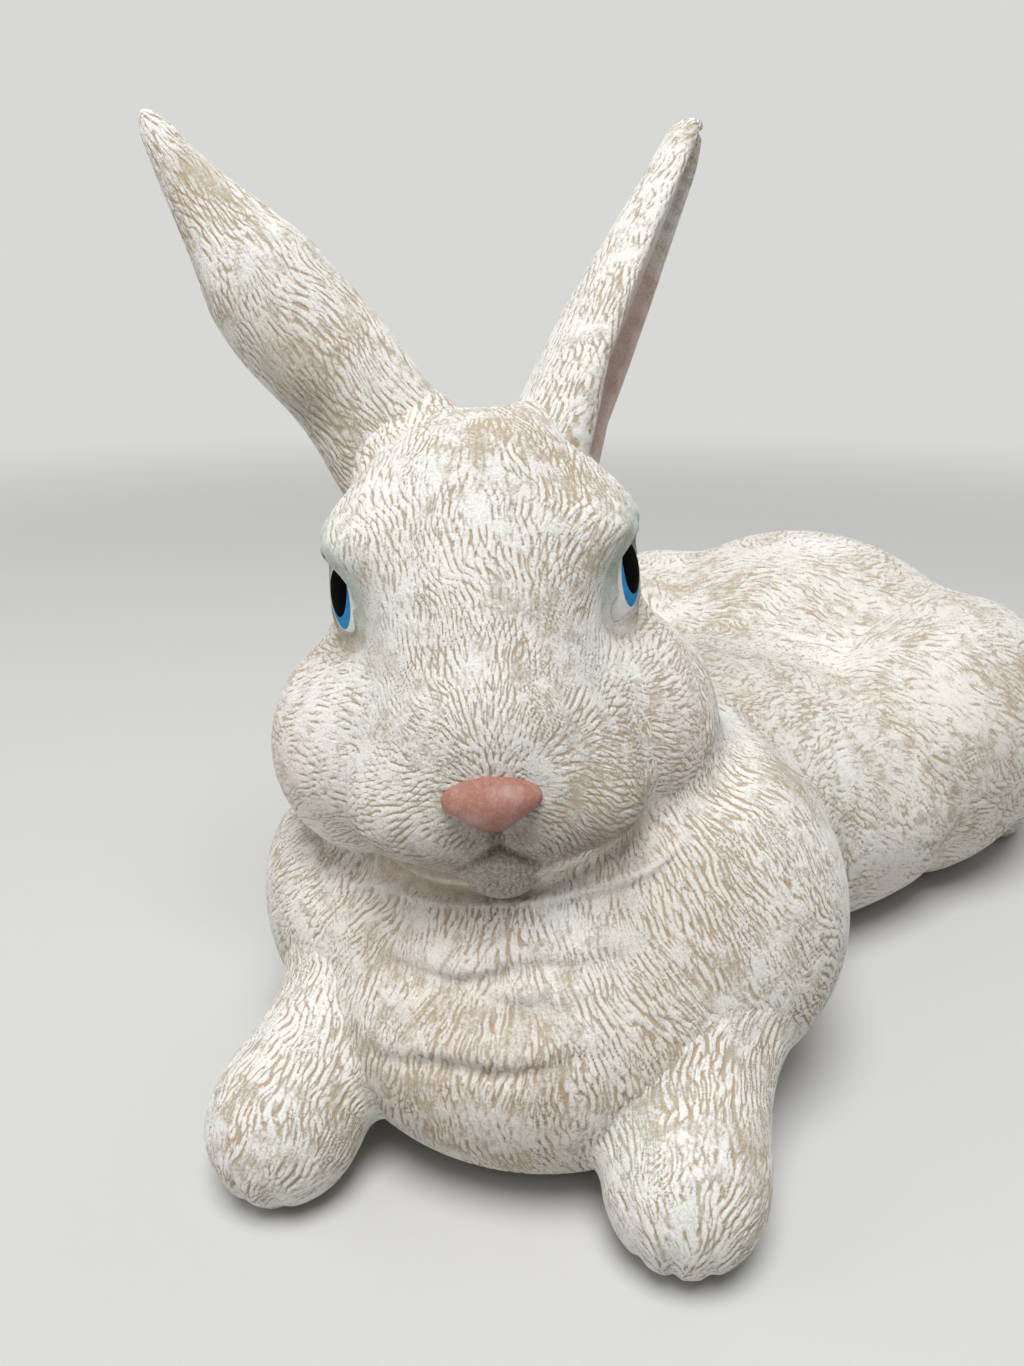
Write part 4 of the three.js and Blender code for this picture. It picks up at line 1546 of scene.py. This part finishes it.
def shade(red, green, blue):
    """A colour as it looks on screen, 0 to 255, in the linear values that materials take."""
    values = np.array((red, green, blue)) / 255
    return tuple(np.where(values <= 0.04045, values / 12.92, ((values + 0.055) / 1.055) ** 2.4))


def tint(name, description, red, green, blue):
    return bpy.props.FloatVectorProperty(
        name=name, description=description, subtype="COLOR", size=3, min=0, max=1,
        default=shade(red, green, blue))


class RabbitColours(bpy.types.PropertyGroup):
    """Paints of the figurine and its floor."""

    white: tint("Brushed white", "White brushed over the ridges of the fur", 238, 237, 232)
    tan: tint("Tan clay", "Clay that shows in the grooves", 190, 176, 152)
    ochre: tint("Ochre clay", "Warmer clay in patches and under the jaw", 190, 160, 126)
    blush: tint("Cheek blush", "Pink on the cheeks", 232, 200, 194)
    eyeshadow: tint("Eyeshadow", "Pale green on the brows and inner lids", 190, 209, 196)
    muzzle_grey: tint("Muzzle grey", "Grey brown on the lower muzzle and chin", 132, 121, 107)
    # Dark brown paint of the mouth, eye corners, specks and ear; also laid as painted shade in the crease
    # under the jaw and under the nose
    stain_and_shade: tint("Stain", "Dark brown in the mouth and at the eye corners", 104, 84, 68)
    nose: tint("Nose", "Pink of the nose", 176, 127, 113)
    # Painted shade: the darker pink of the nose's lower half stands for the shade under it
    nose_painted_shade: tint("Nose painted shade", "Darker pink under the nose", 114, 74, 64)
    ear_pink: tint("Ear pink", "Pink of the ears' insides", 236, 208, 199)
    eye_white: tint("Eye white", "White of the eyes", 240, 240, 238)
    iris: tint("Iris", "Blue of the irises", 66, 156, 220)
    pupil: tint("Pupil", "Black of the pupils", 10, 10, 12)
    floor: tint("Floor", "Pale floor", 200, 200, 198)
    backdrop: tint("Backdrop", "Pale backdrop behind the floor", 216, 216, 214)


class RabbitSizes(bpy.types.PropertyGroup):
    """Carving and light."""

    groove_depth: bpy.props.FloatProperty(
        name="Groove depth", description="Depth of the carved fur on the trunk", default=0.00052,
        min=0, max=0.002, unit="LENGTH", precision=5)
    key_light: bpy.props.FloatProperty(
        name="Key light", description="Power of the main softbox", default=32.5, min=0, unit="POWER")
    sky_light: bpy.props.FloatProperty(
        name="Room light", description="Strength of the even light from all round", default=0.24, min=0)


class RabbitStage(bpy.types.Operator):
    """Make the floor, the lights and the camera"""

    bl_idname = "rabbit.stage"
    bl_label = "Stage"

    def execute(self, context):
        make_stage()
        return {"FINISHED"}


class RabbitTrunk(bpy.types.Operator):
    """Model the trunk with its folds, neck band and carved fur"""

    bl_idname = "rabbit.trunk"
    bl_label = "Trunk"

    def execute(self, context):
        make_trunk()
        return {"FINISHED"}


class RabbitHead(bpy.types.Operator):
    """Model the head with its lids, mouth and carved fur"""

    bl_idname = "rabbit.head"
    bl_label = "Head"

    def execute(self, context):
        make_head()
        return {"FINISHED"}


class RabbitNose(bpy.types.Operator):
    """Model the nose pad"""

    bl_idname = "rabbit.nose"
    bl_label = "Nose"

    def execute(self, context):
        make_nose()
        return {"FINISHED"}


class RabbitEars(bpy.types.Operator):
    """Model both ears and their pink linings"""

    bl_idname = "rabbit.ears"
    bl_label = "Ears"

    def execute(self, context):
        for index, (name, ear) in enumerate(EARS.items()):
            make_ear(name, ear, 31 + index)
            make_ear_lining(name, ear)
        return {"FINISHED"}


class RabbitEyes(bpy.types.Operator):
    """Model the whites, irises and pupils"""

    bl_idname = "rabbit.eyes"
    bl_label = "Eyes"

    def execute(self, context):
        make_eyes()
        return {"FINISHED"}


class RabbitLegs(bpy.types.Operator):
    """Model the forelegs and the hind feet"""

    bl_idname = "rabbit.legs"
    bl_label = "Legs and feet"

    def execute(self, context):
        make_forelegs()
        make_hind_feet()
        return {"FINISHED"}


class RabbitTail(bpy.types.Operator):
    """Model the tail"""

    bl_idname = "rabbit.tail"
    bl_label = "Tail"

    def execute(self, context):
        make_tail()
        return {"FINISHED"}


OPERATORS = (
    RabbitStage, RabbitTrunk, RabbitHead, RabbitNose, RabbitEars, RabbitEyes, RabbitLegs, RabbitTail,
)


class RabbitPanel(bpy.types.Panel):
    """Lists the pieces, their paints and sizes"""

    bl_idname = "VIEW3D_PT_rabbit"
    bl_label = "Rabbit figurine"
    bl_space_type = "VIEW_3D"
    bl_region_type = "UI"
    bl_category = "Rabbit"

    def draw(self, context):
        column = self.layout.column()
        for operator in OPERATORS:
            column.operator(operator.bl_idname)
        for group in (context.scene.rabbit_sizes, context.scene.rabbit_colours):
            for name in group.bl_rna.properties.keys():
                if name not in {"rna_type", "name"}:
                    column.prop(group, name)


CLASSES = (RabbitColours, RabbitSizes, *OPERATORS, RabbitPanel)


def register():
    for item in CLASSES:
        bpy.utils.register_class(item)
    bpy.types.Scene.rabbit_colours = bpy.props.PointerProperty(type=RabbitColours)
    bpy.types.Scene.rabbit_sizes = bpy.props.PointerProperty(type=RabbitSizes)


def unregister():
    del bpy.types.Scene.rabbit_sizes
    del bpy.types.Scene.rabbit_colours
    for item in reversed(CLASSES):
        bpy.utils.unregister_class(item)


def main():
    register()
    for name in ("stage", "trunk", "head", "nose", "ears", "eyes", "legs", "tail"):
        getattr(bpy.ops.rabbit, name)()


if __name__ == "__main__":
    main()
